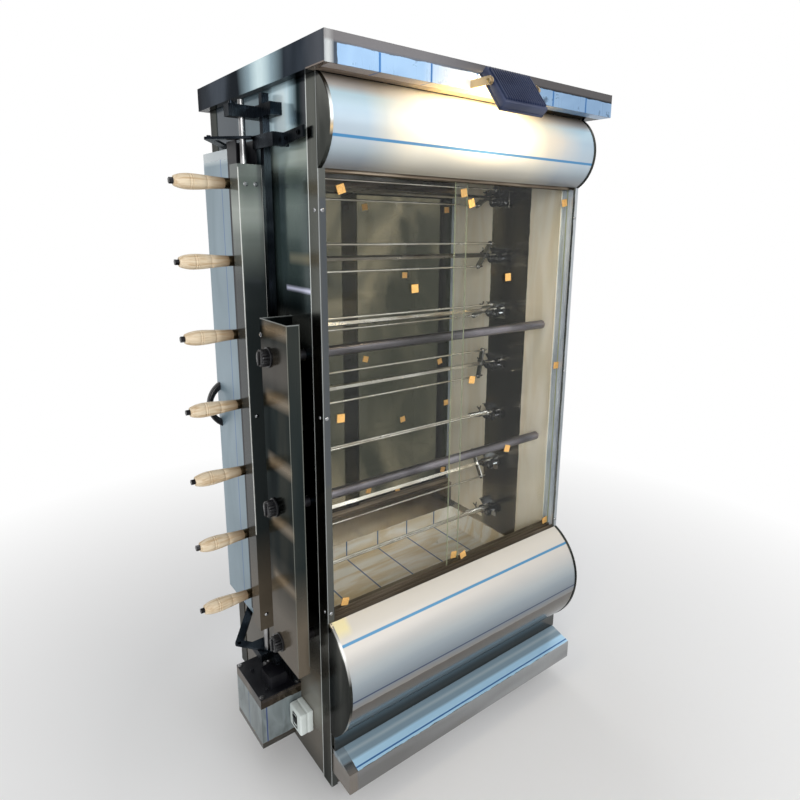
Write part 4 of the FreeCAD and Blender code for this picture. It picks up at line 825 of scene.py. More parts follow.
class Maker:
    """A mesh being made in the cabinet's axes, in millimetres."""

    def __init__(self) -> None:
        """Starts an empty mesh."""
        self.mesh = bmesh.new()

    def slab(self, low: Point, high: Point, edge: float, segments: int = 2) -> Verts:
        """A box with rounded edges.

        Args:
            low: Lowest corner.
            high: Highest corner.
            edge: Radius of the edges.
            segments: Steps round an edge.

        Returns:
            Its vertices.
        """
        start = Vector(low)
        size = Vector(high) - start
        matrix = Matrix.Translation(start + size / 2.0) @ Matrix.Diagonal((*size, 1.0))
        made = bmesh.ops.create_cube(self.mesh, size=1.0, matrix=matrix)["verts"]
        edges = list({e for v in made for e in v.link_edges})
        bevel = bmesh.ops.bevel(
            self.mesh, geom=edges, offset=edge, segments=segments, profile=0.5, affect="EDGES", material=-1
        )
        return list({v for f in bevel["faces"] for v in f.verts})

    def lathe(self, start: Point, axis: Point, profile: Sequence[Span], steps: int) -> Verts:
        """A turned shape.

        Args:
            start: Where the axis starts.
            axis: Its direction.
            profile: Points as distance along the axis and radius.
            steps: Steps round it.

        Returns:
            Its vertices.
        """
        way = Vector(axis).normalized()
        side = way.orthogonal().normalized()
        origin = Vector(start)
        points = [self.mesh.verts.new(origin + way * along + side * radius) for along, radius in profile]
        edges = [self.mesh.edges.new(pair) for pair in zip(points, points[1:])]
        before = set(self.mesh.verts) - set(points)
        bmesh.ops.spin(
            self.mesh,
            geom=points + edges,
            cent=origin,
            axis=way,
            dvec=(0.0, 0.0, 0.0),
            angle=2.0 * math.pi,
            steps=steps,
            use_merge=True,
            use_normal_flip=False,
            use_duplicate=False,
        )
        return [v for v in self.mesh.verts if v not in before]

    def prism(self, corners: Sequence[Point], along: Point) -> Verts:
        """A flat outline pushed along a direction.

        Args:
            corners: The outline's corners.
            along: How far and which way it is pushed.

        Returns:
            Its vertices.
        """
        points = [self.mesh.verts.new(corner) for corner in corners]
        face = self.mesh.faces.new(points)
        grown = bmesh.ops.extrude_face_region(self.mesh, geom=[face], use_keep_orig=True)
        moved = [item for item in grown["geom"] if isinstance(item, bmesh.types.BMVert)]
        bmesh.ops.translate(self.mesh, verts=moved, vec=along)
        return points + moved

    def loft(self, rings: Sequence[Sequence[Point]]) -> Verts:
        """A skin through rings of points with a cap at each end.

        Args:
            rings: Rings with the same number of points.

        Returns:
            Its vertices.
        """
        loops = []
        for points in rings:
            verts = [self.mesh.verts.new(point) for point in points]
            loops.append([self.mesh.edges.new(pair) for pair in zip(verts, verts[1:] + verts[:1])])
        for loop, after in zip(loops, loops[1:]):
            bmesh.ops.bridge_loops(self.mesh, edges=loop + after)
        for end in (loops[0], loops[-1]):
            bmesh.ops.edgeloop_fill(self.mesh, edges=end)
        return list({v for loop in loops for e in loop for v in e.verts})

    def turn(self, verts: Verts, center: Point, axis: Axis, degrees: float) -> None:
        """Turns vertices about a line along one axis."""
        matrix = Matrix.Rotation(math.radians(degrees), 3, axis.name)
        bmesh.ops.rotate(self.mesh, cent=center, matrix=matrix, verts=verts)

    def piece(
        self,
        name: str,
        finish: Finish,
        body: str,
        stands_for: Sequence[str] = (),
        slot: str = "",
        sharp: float = 35.0,
    ) -> Piece:
        """Ends the mesh as one piece in the frame.

        Args:
            name: The piece's name.
            finish: Its finish.
            body: The body that it rides on.
            stands_for: Measured parts that it takes the place of.
            slot: Not used.
            sharp: Edges sharper than this many degrees stay hard.

        Returns:
            The piece.
        """
        bmesh.ops.remove_doubles(self.mesh, verts=self.mesh.verts, dist=0.001)
        bmesh.ops.transform(self.mesh, matrix=AXES.matrix(), verts=self.mesh.verts)
        bmesh.ops.recalc_face_normals(self.mesh, faces=self.mesh.faces)
        data = bpy.data.meshes.new(name)
        self.mesh.to_mesh(data)
        self.mesh.free()
        data.shade_smooth()
        data.set_sharp_from_angle(angle=math.radians(sharp))
        data.materials.append(finish.material())
        made = bpy.data.objects.new(name, data)
        bpy.context.scene.collection.objects.link(made)
        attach(made, body)
        if stands_for:
            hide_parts(*stands_for)
        return made


BLACK_PAINT = Coat("black_paint", (0.004, 0.004, 0.006), (0.014, 0.015, 0.018), 0.4, 90.0, shine=0.2)
BLACK_PLASTIC = Coat("black_plastic", (0.004, 0.004, 0.005), (0.01, 0.01, 0.012), 0.24, 120.0, shine=0.35)
RUBBER = Coat("rubber", (0.02, 0.02, 0.02), (0.05, 0.05, 0.05), 0.75, 60.0, 0.0003)
GREY_PLASTIC = Coat("grey_plastic", (0.74, 0.8, 0.78), (0.55, 0.6, 0.58), 0.45, 40.0, 0.00015)
NAVY_PAINT = Coat("navy_paint", (0.014, 0.022, 0.06), (0.035, 0.05, 0.11), 0.4, 70.0, 0.00015)
TAN_PAINT = Coat("tan_steel", (0.5, 0.38, 0.22), (0.32, 0.24, 0.14), 0.35, 50.0, metal=0.6)
DULL_IRON = Coat("dull_iron", (0.05, 0.045, 0.04), (0.13, 0.11, 0.08), 0.38, 60.0, metal=1.0)
GOLD = Coat("gold_nut", (0.75, 0.5, 0.14), (0.5, 0.33, 0.1), 0.28, 60.0, metal=1.0)
BURNER_STEEL = Steel(
    "burner_steel",
    deep=(0.05, 0.046, 0.05),
    tone=(0.15, 0.14, 0.155),
    bright=(0.26, 0.24, 0.27),
    drift=(4.0, 10.0, 10.0),
    rough=0.3,
    wave=0.0,
    grain=(3.0, 60.0, 60.0),
)
TRACK_BRONZE = Steel(
    "track_bronze",
    deep=(0.06, 0.045, 0.03),
    tone=(0.2, 0.16, 0.12),
    bright=(0.48, 0.41, 0.32),
    drift=(3.0, 30.0, 30.0),
    rough=0.3,
    wave=0.0005,
    grain=(1.5, 60.0, 60.0),
    # A brown painted reflection lightens the rails between z 400 and 700.
    painted_lights=(PaintedLight(Patch(z=(400.0, 700.0)), (0.22, 0.18, 0.13), 5.0, 0.6),),
)
DRIVE_FRONT = Patch(y=(230.0, 290.0))
CONTROL_LEFT = Patch(x=(-81.0, -77.5), y=(9.0, 160.0))
CONTROL_FRONT = Patch(y=(8.0, 12.0))
# Painted reflections of the wooden grips on the control cover's left face, at five spits' levels.
PAINTED_HANDLE_REFLECTIONS = tuple(
    PaintedLight(Patch(y=(-40.0, 132.0), z=(level - 14.0, level + 14.0)), (0.3, 0.23, 0.15), 22.0, 0.55, CONTROL_LEFT)
    for level in (1272.0, 1108.0, 951.0, 797.0, 643.0)
)
COVER = Steel(
    "cover_steel",
    deep=(0.01, 0.014, 0.015),
    tone=(0.026, 0.034, 0.034),
    bright=(0.052, 0.056, 0.05),
    drift=(3.0, 9.0, 1.6),
    rough=0.12,
    wave=0.005,
    rim=0.5,
    # Painted light on the covers: soft painted reflections down the drive cover's front, thin painted
    # highlights along its side edges, the control cover's front edges and its top, a warm painted reflection
    # low down, and painted shade on the control cover's left face.
    painted_lights=(
        PaintedLight(Patch(z=(380.0, 1500.0)), (0.026, 0.032, 0.033), 90.0, 0.8, DRIVE_FRONT),
        PaintedLight(Patch(z=(1440.0, 1600.0)), (0.3, 0.34, 0.31), 170.0, 0.8, DRIVE_FRONT),
        PaintedLight(Patch(z=(1500.0, 1576.0)), (0.42, 0.46, 0.42), 70.0, 0.7, DRIVE_FRONT),
        PaintedLight(Patch(z=(1600.0, 1660.0)), (0.16, 0.18, 0.17), 30.0, 0.8, DRIVE_FRONT),
        PaintedLight(Patch(x=(-82.0, -78.6), y=(234.0, 237.6), z=(700.0, 1632.0)), (0.9, 0.92, 0.88), 1.5),
        PaintedLight(Patch(x=(-22.5, -18.0), y=(234.0, 237.6), z=(980.0, 1632.0)), (0.9, 0.92, 0.88), 1.5),
        PaintedLight(Patch(z=(300.0, 630.0)), (0.15, 0.12, 0.085), 170.0, 0.75),
        PaintedLight(Patch(z=(1130.0, 1230.0)), (0.06, 0.045, 0.03), 60.0, 0.6, CONTROL_LEFT),
        *PAINTED_HANDLE_REFLECTIONS,
        PaintedLight(Patch(x=(-81.0, -78.4), z=(430.0, 1288.0)), (0.2, 0.21, 0.18), 1.5, 0.8, CONTROL_FRONT),
        PaintedLight(Patch(x=(-50.0, -46.0), z=(430.0, 1288.0)), (0.16, 0.17, 0.15), 1.5, 0.7, CONTROL_FRONT),
        PaintedLight(Patch(y=(5.0, 160.0), z=(1288.5, 1294.0)), (0.3, 0.32, 0.31), 2.0, 0.6),
    ),
)
BRACKET_STEEL = Steel(
    "bracket_steel",
    deep=(0.005, 0.007, 0.009),
    tone=(0.016, 0.02, 0.026),
    bright=(0.045, 0.054, 0.064),
    drift=(9.0, 9.0, 9.0),
    rough=0.22,
    wave=0.0,
    rim=0.6,
)
BRIGHT = Steel("bright_steel", deep=(0.2, 0.2, 0.21), drift=(8.0, 8.0, 8.0), rough=0.16, wave=0.001)
DULL = Steel(
    "dull_steel",
    deep=(0.08, 0.08, 0.08),
    tone=(0.24, 0.24, 0.24),
    bright=(0.5, 0.5, 0.5),
    drift=(9.0, 9.0, 9.0),
    rough=0.26,
    wave=0.0,
)
POST = Steel(
    "post_steel",
    deep=(0.03, 0.034, 0.03),
    tone=(0.07, 0.076, 0.066),
    bright=(0.15, 0.155, 0.14),
    drift=(5.0, 6.0, 0.8),
    films=(Patch(x=(848.0, 880.0), y=(-20.0, 6.0)), Patch(x=(852.0, 880.0))),
    film=(0.4, 0.43, 0.46),
    film_shade=(0.26, 0.29, 0.31),
    rim=0.6,
    # Painted light on the posts: a brown painted reflection low on the left faces, painted highlights along
    # the edges, and darker and bluish painted reflections on the front faces.
    painted_lights=(
        PaintedLight(Patch(x=(-1.0, 1.2), z=(120.0, 520.0)), (0.15, 0.11, 0.075), 160.0, 0.7),
        PaintedLight(Patch(x=(-1.0, 2.5), y=(42.5, 47.5)), (0.8, 0.84, 0.82), 2.0, 0.8),
        PaintedLight(Patch(x=(-1.0, 1.5), y=(-2.0, 1.5)), (0.36, 0.38, 0.38), 1.5),
        PaintedLight(Patch(x=(2.5, 90.0), y=(-2.0, 3.0)), (0.052, 0.056, 0.054), 4.0, 0.6),
        PaintedLight(Patch(x=(2.5, 19.0), y=(-2.0, 3.0), z=(900.0, 1560.0)), (0.05, 0.065, 0.1), 8.0, 0.5),
    ),
)
FRAME = Steel("frame_steel", deep=(0.05, 0.045, 0.04), tone=(0.22, 0.2, 0.18), rough=0.26, wave=0.001)
LEFT_WALL = Patch(x=(-5.0, 5.0))
CANOPY_LEFT = Patch(x=(-24.0, -20.0))
CANOPY_EDGE = Patch(y=(-82.0, -77.5))
CANOPY_LIP = Patch(y=(-82.0, -77.5), z=(1800.0, 1847.0))
CANOPY_SOFFIT = Patch(y=(-77.0, 0.0), z=(1800.0, 1812.5))
RIM_LEFT = Patch(x=(2.2, 12.0))
SIDES = Steel(
    "side_steel",
    deep=(0.006, 0.011, 0.014),
    tone=(0.02, 0.031, 0.034),
    bright=(0.05, 0.062, 0.06),
    drift=(1.0, 5.0, 1.4),
    spread=(0.4, 0.66),
    rough=0.1,
    wave=0.006,
    rim=0.5,
    films=(Patch(x=(850.0, 880.0)),),
    film=(0.62, 0.68, 0.74),
    film_shade=(0.46, 0.52, 0.6),
    lines=tuple(Line(Axis.Y, y) for y in (110.0, 243.0, 376.0, 509.0)),
    # Painted reflections on the left wall: dark and pale bands, a pale blue painted reflection near the top,
    # thin painted highlights, and a brown painted reflection low down.
    painted_lights=(
        PaintedLight(Patch(z=(0.0, 430.0)), (0.15, 0.13, 0.1), 200.0, 0.8, LEFT_WALL),
        PaintedLight(Patch(y=(40.0, 150.0), z=(190.0, 300.0)), (0.3, 0.3, 0.27), 60.0, 0.6, LEFT_WALL),
        PaintedLight(Patch(y=(330.0, 800.0), z=(1680.0, 1950.0)), (0.05, 0.07, 0.09), 60.0, 0.85, LEFT_WALL),
        PaintedLight(Patch(y=(240.0, 400.0), z=(1690.0, 1950.0)), (0.16, 0.24, 0.28), 80.0, 0.85, LEFT_WALL),
        PaintedLight(Patch(y=(112.0, 240.0), z=(1650.0, 1950.0)), (0.55, 0.78, 0.88), 50.0, 0.95, LEFT_WALL),
        PaintedLight(Patch(y=(140.0, 205.0), z=(1690.0, 1800.0)), (0.85, 0.98, 1.0), 36.0, 0.8, LEFT_WALL),
        PaintedLight(Patch(y=(-100.0, 60.0), z=(1640.0, 1950.0)), (0.03, 0.035, 0.045), 40.0, 0.95, LEFT_WALL),
        PaintedLight(Patch(y=(20.0, 250.0), z=(1620.0, 1690.0)), (0.34, 0.4, 0.35), 50.0, 0.8, LEFT_WALL),
        PaintedLight(Patch(y=(20.0, 260.0), z=(1340.0, 1600.0)), (0.045, 0.07, 0.068), 90.0, 0.8, LEFT_WALL),
        PaintedLight(Patch(y=(30.0, 150.0), z=(1418.0, 1438.0)), (0.22, 0.21, 0.15), 14.0, 0.75, LEFT_WALL),
        PaintedLight(Patch(y=(40.0, 172.0), z=(1351.0, 1361.0)), (0.75, 0.77, 0.98), 7.0, 0.9, LEFT_WALL),
        PaintedLight(Patch(z=(1225.0, 1300.0)), (0.1, 0.1, 0.085), 30.0, 0.5, LEFT_WALL),
    ),
)
LINERS = Steel(
    "liner_steel",
    deep=(0.06, 0.056, 0.046),
    tone=(0.15, 0.138, 0.112),
    bright=(0.34, 0.31, 0.25),
    drift=(1.0, 6.0, 1.0),
    films=(
        Patch(x=(850.0, 858.0), y=(20.0, 178.0), z=(426.0, 1800.0)),
        Patch(x=(850.0, 858.0), y=(351.0, 575.0), z=(426.0, 1800.0)),
    ),
    film=(0.99, 0.92, 0.78),
    film_shade=(0.9, 0.8, 0.62),
    # A warm pool of painted light on the right inner wall.
    painted_lights=(
        PaintedLight(Patch(x=(849.0, 859.0), y=(330.0, 600.0), z=(1250.0, 1700.0)), (0.98, 0.84, 0.56), 120.0, 0.7),
    ),
)
REAR = Steel(
    "rear_steel",
    films=(Patch(y=(610.0, 640.0)),),
    lines=tuple(Line(Axis.X, x) for x in (90.0, 223.0, 356.0, 489.0, 622.0, 755.0)),
)
CANOPY = Steel(
    "canopy_steel",
    deep=(0.012, 0.016, 0.022),
    tone=(0.034, 0.043, 0.056),
    bright=(0.09, 0.108, 0.135),
    drift=(1.6, 5.0, 2.0),
    spread=(0.4, 0.66),
    rough=0.12,
    wave=0.003,
    rim=0.5,
    films=(
        Patch(x=(6.0, 890.0), y=(-82.0, -77.5), z=(1806.0, 1847.0)),
        Patch(x=(-10.0, 890.0), y=(-76.0, -40.0), z=(1806.0, 1812.5)),
    ),
    film=(0.28, 0.43, 0.62),
    film_shade=(0.21, 0.34, 0.52),
    lines=tuple(Line(Axis.X, x) for x in (105.0, 239.0, 372.0, 505.0, 637.0, 769.0)),
    # Painted light on the canopy: painted reflections on its left face, a painted highlight on its front
    # corner, a darker painted reflection along the top of its front, and the floodlight's warm painted light
    # on its underside and lip.
    painted_lights=(
        PaintedLight(Patch(y=(160.0, 300.0)), (0.5, 0.72, 0.82), 120.0, 0.9, CANOPY_LEFT),
        PaintedLight(Patch(y=(190.0, 262.0)), (0.8, 0.98, 1.0), 50.0, 0.7, CANOPY_LEFT),
        PaintedLight(Patch(y=(-100.0, -20.0)), (0.05, 0.06, 0.08), 70.0, 0.7, CANOPY_LEFT),
        PaintedLight(Patch(x=(-22.0, -6.0)), (0.46, 0.48, 0.48), 12.0, 0.7, CANOPY_EDGE),
        PaintedLight(Patch(z=(1850.0, 1900.0)), (0.13, 0.12, 0.12), 6.0, 0.7, CANOPY_EDGE),
        PaintedLight(Patch(x=(-30.0, 330.0)), (0.36, 0.28, 0.22), 60.0, 0.85, CANOPY_SOFFIT),
        PaintedLight(Patch(x=(250.0, 640.0)), (0.95, 0.76, 0.46), 120.0, 0.9, CANOPY_SOFFIT),
        PaintedLight(Patch(x=(270.0, 420.0)), (0.94, 0.92, 0.86), 110.0, 0.85, CANOPY_LIP),
    ),
)
UPPER = Steel(
    "upper_barrel_steel",
    films=(Patch(),),
    film=(0.62, 0.68, 0.74),
    film_shade=(0.5, 0.57, 0.64),
    sheen=0.12,
    lines=(Line(Axis.Z, 1684.0, half=3.0, ink=(0.03, 0.2, 0.42)),),
    drift=(1.2, 3.0, 9.0),
    # Painted shading: dark at the barrel's underside, lighter up its front, and darker and browner again at
    # the top under the canopy.
    fade=(
        (1624.0, (0.13, 0.13, 0.13)),
        (1644.0, (0.2, 0.24, 0.27)),
        (1660.0, (0.3, 0.37, 0.42)),
        (1676.0, (0.38, 0.46, 0.53)),
        (1706.0, (0.37, 0.46, 0.54)),
        (1734.0, (0.36, 0.48, 0.58)),
        (1768.0, (0.46, 0.64, 0.73)),
        (1784.0, (0.44, 0.42, 0.4)),
        (1808.0, (0.3, 0.25, 0.2)),
    ),
    # The floodlight's warm light and a pale highlight, painted onto the film.
    painted_lights=(
        PaintedLight(Patch(x=(150.0, 670.0), z=(1650.0, 1820.0)), (0.92, 0.76, 0.48), 120.0, 0.7),
        PaintedLight(Patch(x=(640.0, 760.0), z=(1690.0, 1776.0)), (0.74, 0.62, 0.48), 90.0, 0.6),
        PaintedLight(Patch(x=(190.0, 610.0), z=(1690.0, 1830.0)), (0.96, 0.94, 0.88), 100.0, 0.8),
    ),
)
LOWER = Steel(
    "lower_barrel_steel",
    deep=(0.12, 0.11, 0.1),
    tone=(0.3, 0.28, 0.26),
    bright=(0.5, 0.48, 0.46),
    films=(Patch(z=(342.0, 540.0)),),
    film=(0.84, 0.83, 0.8),
    film_shade=(0.74, 0.73, 0.7),
    sheen=0.12,
    lines=(
        Line(Axis.Z, 496.0, half=2.6, ink=(0.03, 0.22, 0.43)),
        Line(Axis.Z, 366.0, half=2.0, ink=(0.004, 0.02, 0.08)),
    ),
    drift=(1.2, 3.0, 10.0),
    # Painted shading: dark at the barrel's underside, lighter up its rounded top.
    fade=(
        (170.0, (0.07, 0.07, 0.065)),
        (250.0, (0.13, 0.15, 0.16)),
        (300.0, (0.15, 0.14, 0.125)),
        (344.0, (0.15, 0.14, 0.13)),
        (366.0, (0.1, 0.14, 0.18)),
        (405.0, (0.21, 0.26, 0.3)),
        (430.0, (0.33, 0.37, 0.39)),
        (462.0, (0.48, 0.47, 0.45)),
        (480.0, (0.56, 0.53, 0.49)),
        (512.0, (0.64, 0.6, 0.53)),
    ),
    # A yellow painted highlight at the left end of the top.
    painted_lights=(PaintedLight(Patch(x=(-10.0, 46.0), z=(512.0, 540.0)), (0.86, 0.76, 0.4), 14.0, 0.8),),
)
ENDS = Steel(
    "end_plate_steel",
    deep=(0.02, 0.022, 0.02),
    tone=(0.06, 0.064, 0.058),
    bright=(0.17, 0.17, 0.155),
    drift=(8.0, 8.0, 3.0),
    rough=0.12,
    rim=0.6,
    # Painted highlights and reflections on the end plates' left rims.
    painted_lights=(
        PaintedLight(Patch(z=(1700.0, 1768.0)), (0.8, 0.85, 0.85), 36.0, 0.9, RIM_LEFT),
        PaintedLight(Patch(z=(1690.0, 1706.0)), (0.75, 0.52, 0.25), 14.0, 0.8, RIM_LEFT),
        PaintedLight(Patch(z=(440.0, 520.0)), (0.7, 0.7, 0.68), 50.0, 0.9, RIM_LEFT),
        PaintedLight(Patch(z=(220.0, 320.0)), (0.3, 0.27, 0.23), 50.0, 0.9, RIM_LEFT),
    ),
)
TRAY = Steel(
    "tray_steel",
    deep=(0.12, 0.1, 0.08),
    tone=(0.42, 0.36, 0.28),
    bright=(0.72, 0.64, 0.52),
    films=(Patch(y=(50.0, 540.0), z=(325.0, 399.0)),),
    film=(0.99, 0.97, 0.92),
    film_shade=(0.8, 0.68, 0.48),
    lines=tuple(Line(Axis.X, x) for x in (100.0, 233.0, 366.0, 499.0, 632.0, 765.0)),
    drift=(1.4, 9.0, 4.0),
)
MOTOR_FRONT = Patch(y=(166.0, 170.0))
MOTOR_LID = Patch(x=(-112.0, 10.0), y=(172.0, 400.0), z=(239.0, 246.0))
DRAWER = Steel(
    "drawer_steel",
    deep=(0.24, 0.24, 0.24),
    tone=(0.36, 0.37, 0.38),
    bright=(0.5, 0.52, 0.54),
    films=(Patch(x=(30.0, 862.0), y=(-86.0, -12.0), z=(145.0, 167.0)),),
    film=(0.5, 0.76, 0.96),
    film_shade=(0.42, 0.67, 0.88),
    lines=(Line(Axis.Y, -77.3, half=2.0, ink=(0.01, 0.11, 0.34)),),
    drift=(1.0, 6.0, 8.0),
    # Painted light on the drawer: a band of painted shade under the barrel, a pale painted reflection across
    # it, and darker painted shade at its left end.
    painted_lights=(
        PaintedLight(Patch(y=(-56.0, -10.0), z=(145.0, 170.0)), (0.19, 0.26, 0.31), 7.0, 0.9),
        PaintedLight(Patch(y=(-38.0, -31.0), z=(145.0, 170.0)), (0.42, 0.5, 0.54), 8.0, 0.7),
        PaintedLight(Patch(x=(-5.0, 28.0), z=(60.0, 150.0)), (0.16, 0.13, 0.1), 6.0, 0.7),
    ),
)
MOTOR = Steel(
    "motor_box_steel",
    deep=(0.04, 0.034, 0.028),
    tone=(0.13, 0.1, 0.075),
    bright=(0.22, 0.18, 0.13),
    films=(Patch(z=(112.0, 222.0)),),
    film=(0.24, 0.28, 0.29),
    film_shade=(0.14, 0.165, 0.17),
    lines=(
        Line(Axis.X, -101.0, Patch(y=(168.0, 176.0)), 1.8, (0.03, 0.06, 0.2)),
        Line(Axis.Y, 260.0, Patch(x=(-118.0, -112.0)), 1.4, (0.03, 0.08, 0.2)),
    ),
    drift=(9.0, 9.0, 3.0),
    # A pale painted reflection on the motor box's front, and painted shade low down and over its lid.
    painted_lights=(
        PaintedLight(Patch(x=(-84.0, -56.0), z=(118.0, 216.0)), (0.5, 0.54, 0.54), 26.0, 0.6, MOTOR_FRONT),
        PaintedLight(Patch(z=(60.0, 110.0)), (0.04, 0.038, 0.033), 4.0, 0.9),
        PaintedLight(Patch(), (0.03, 0.026, 0.028), 4.0, 0.9, MOTOR_LID),
    ),
)
DOOR = Steel(
    "service_door_steel",
    deep=(0.2, 0.22, 0.25),
    films=(Patch(z=(330.0, 1668.0)),),
    film=(0.24, 0.33, 0.39),
    film_shade=(0.18, 0.26, 0.31),
    lines=(Line(Axis.Y, 490.0, Patch(x=(-30.0, -24.0)), 1.8, (0.02, 0.1, 0.34)),),
    drift=(1.0, 2.0, 0.8),
    # A pale painted highlight along the door's top edge.
    painted_lights=(PaintedLight(Patch(z=(1660.0, 1700.0)), (0.6, 0.68, 0.7), 10.0, 0.6),),
)
FRONT_GLASS = Pane("front_glass", tint=(0.997, 0.998, 0.995), murk=(0.972, 0.978, 0.966), gloss=0.35)
# The rear panes are darkened between z 640 and 1150 by a painted dark reflection.
REAR_GLASS = Pane(
    "rear_glass", tint=(0.54, 0.5, 0.4), murk=(0.19, 0.195, 0.16), gloss=0.3, painted_dark_reflection=Patch(z=(640.0, 1150.0))
)
SPIT_STEEL = SpitSteel()
WOOD = Wood()
CORK = Cork()
LIT_GLASS = LitGlass()


def pin(length: float, radius: float) -> list[Span]:
    """A plain pin's outline for the lathe, open by a hair at both ends."""
    hair = 0.4
    return [(0.0, hair), (0.0, radius), (length, radius), (length, hair)]


class MeasuredParts:
    """The parts whose measured shape stays, each with its finish."""

    finishes: dict[str, Finish] = {
        "frame_rails": FRAME,
        "feet": RUBBER,
        "corner_posts": POST,
        "side_panels": SIDES,
        "inner_liners": LINERS,
        "rear_panels": REAR,
        "canopy": CANOPY,
        "upper_fascia": UPPER,
        "lower_fascia": LOWER,
        "fascia_end_plates": ENDS,
        "door_tracks": TRACK_BRONZE,
        "floor_tray": TRAY,
        "grease_drawer": DRAWER,
        "burner_tubes": BURNER_STEEL,
        "gas_manifold": DULL_IRON,
        "control_cover": COVER,
        "spit_supports": BRIGHT,
        "drive_shaft": DULL,
        "drive_carrier": BLACK_PAINT,
        "drive_cover": COVER,
        "drive_brackets": BRACKET_STEEL,
        "motor_box": MOTOR,
        "gearmotor": BLACK_PAINT,
        "service_door": DOOR,
        "door_hinge_pins": BRIGHT,
        "lamp_bracket": TAN_PAINT,
        "front_glass_left": FRONT_GLASS,
        "front_glass_right": FRONT_GLASS,
        "rear_glass_left": REAR_GLASS,
        "rear_glass_right": REAR_GLASS,
    }

    def build(self) -> list[Piece]:
        """Puts each finish on its part.

        Returns:
            The parts.
        """
        table = dict(self.finishes)
        for number in SPITS:
            table[f"spit_{number}"] = SPIT_STEEL
        dressed = []
        for name, finish in table.items():
            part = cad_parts[name]
            for slot in part.material_slots:
                slot.material = finish.material()
            dressed.append(part)
        return dressed


@dataclass
class WoodGrips:
    """The seven turned handles, rounder than measured, with a double ring and a step at the neck.

    The shape runs from the outer end to the neck, as shares of the grip's length and of its belly.
    """

    steps: int = 40
    shape: tuple[Span, ...] = (
        (0.0, 0.22), (0.0, 0.6), (0.015, 0.68), (0.06, 0.78), (0.12, 0.89), (0.2, 0.97), (0.27, 1.0),
        (0.295, 1.0), (0.305, 0.93), (0.315, 1.0), (0.345, 1.0), (0.355, 0.93), (0.365, 1.0),
        (0.46, 0.965), (0.58, 0.9), (0.62, 0.885), (0.63, 0.83), (0.64, 0.88), (0.76, 0.8),
        (0.9, 0.74), (0.98, 0.72), (1.0, 0.68), (1.0, 0.22),
    )

    def build(self) -> list[Piece]:
        """Turns each grip in its measured place.

        Returns:
            The grips.
        """
        return [self.grip(number) for number in SPITS]

    def grip(self, number: int) -> Piece:
        """One grip.

        Args:
            number: The spit's number from the top.

        Returns:
            The piece.
        """
        node = f"spit_handle_{number}"
        low, high = AXES.box(node)
        middle = AXES.middle(node)
        length = high.x - low.x
        belly = (high.z - low.z) / 2.0
        profile = [(along * length, radius * belly) for along, radius in self.shape]
        maker = Maker()
        maker.lathe((low.x, middle.y, middle.z), RIGHT, profile, self.steps)
        return maker.piece(f"wood_grip_{number}", WOOD, f"spit_{number}", [node], "wood", 50.0)


@dataclass
class GlassPads:
    """The cork pads stuck on the panes, their centres as x and z."""

    size: float = 21.0
    thick: float = 3.0
    edge: float = 0.7
    turn_step: int = 47
    turn_range: int = 40
    least_turn: float = -18.0
    front_left: tuple[Span, ...] = (
        (80.0, 1583.6), (448.0, 1591.0), (291.0, 1349.5), (70.0, 1046.0), (445.0, 550.5), (73.8, 545.0),
    )
    front_right: tuple[Span, ...] = (
        (464.7, 1565.0), (837.6, 1578.8), (612.0, 1367.0), (845.0, 1080.0),
        (486.0, 1084.7), (640.0, 846.0), (471.8, 547.0), (836.0, 548.0),
    )
    rear_left: tuple[Span, ...] = (
        (60.0, 1560.0), (225.0, 1330.0), (60.0, 1044.0), (225.0, 800.0), (60.0, 540.0),
    )
    rear_right: tuple[Span, ...] = (
        (403.0, 1560.7), (475.0, 1563.0), (828.0, 1563.0), (640.0, 1333.0), (403.0, 1043.0), (474.0, 1047.5),
        (809.0, 998.0), (635.0, 797.4), (845.0, 827.0), (613.6, 525.0), (482.8, 552.0), (835.5, 548.0),
    )

    def build(self) -> list[Piece]:
        """Sticks the pads on each pane.

        Returns:
            The four sets of pads.
        """
        sets = {
            "front_glass_left": self.front_left,
            "front_glass_right": self.front_right,
            "rear_glass_left": self.rear_left,
            "rear_glass_right": self.rear_right,
        }
        return [self.pads(pane, places) for pane, places in sets.items()]

    def pads(self, pane: str, places: Sequence[Span]) -> Piece:
        """One pane's pads, each turned a little differently.

        Args:
            pane: The pane.
            places: Centres as x and z.

        Returns:
            The piece.
        """
        face = AXES.box(pane)[0].y
        half = self.size / 2.0
        maker = Maker()
        for count, (x, z) in enumerate(places):
            low = (x - half, face - self.thick, z - half)
            high = (x + half, face, z + half)
            made = maker.slab(low, high, self.edge, 1)
            turn = count * self.turn_step % self.turn_range + self.least_turn
            maker.turn(made, (x, face, z), Axis.Y, turn)
        return maker.piece(f"{pane}_pads", CORK, pane)


def ring(center: Point, side: Vector, up: Vector, count: int, power: float) -> list[Vector]:
    """Points round a centre: an ellipse, or a rounded box for powers below 1.

    Args:
        center: Middle of the ring.
        side: Half of its width.
        up: Half of its height.
        count: Number of points.
        power: 1 for an ellipse, less for squarer corners.

    Returns:
        The points.
    """
    points = []
    for step in range(count):
        angle = 2.0 * math.pi * (step + 0.5) / count
        across = math.copysign(abs(math.cos(angle)) ** power, math.cos(angle))
        along = math.copysign(abs(math.sin(angle)) ** power, math.sin(angle))
        points.append(Vector(center) + side * across + up * along)
    return points


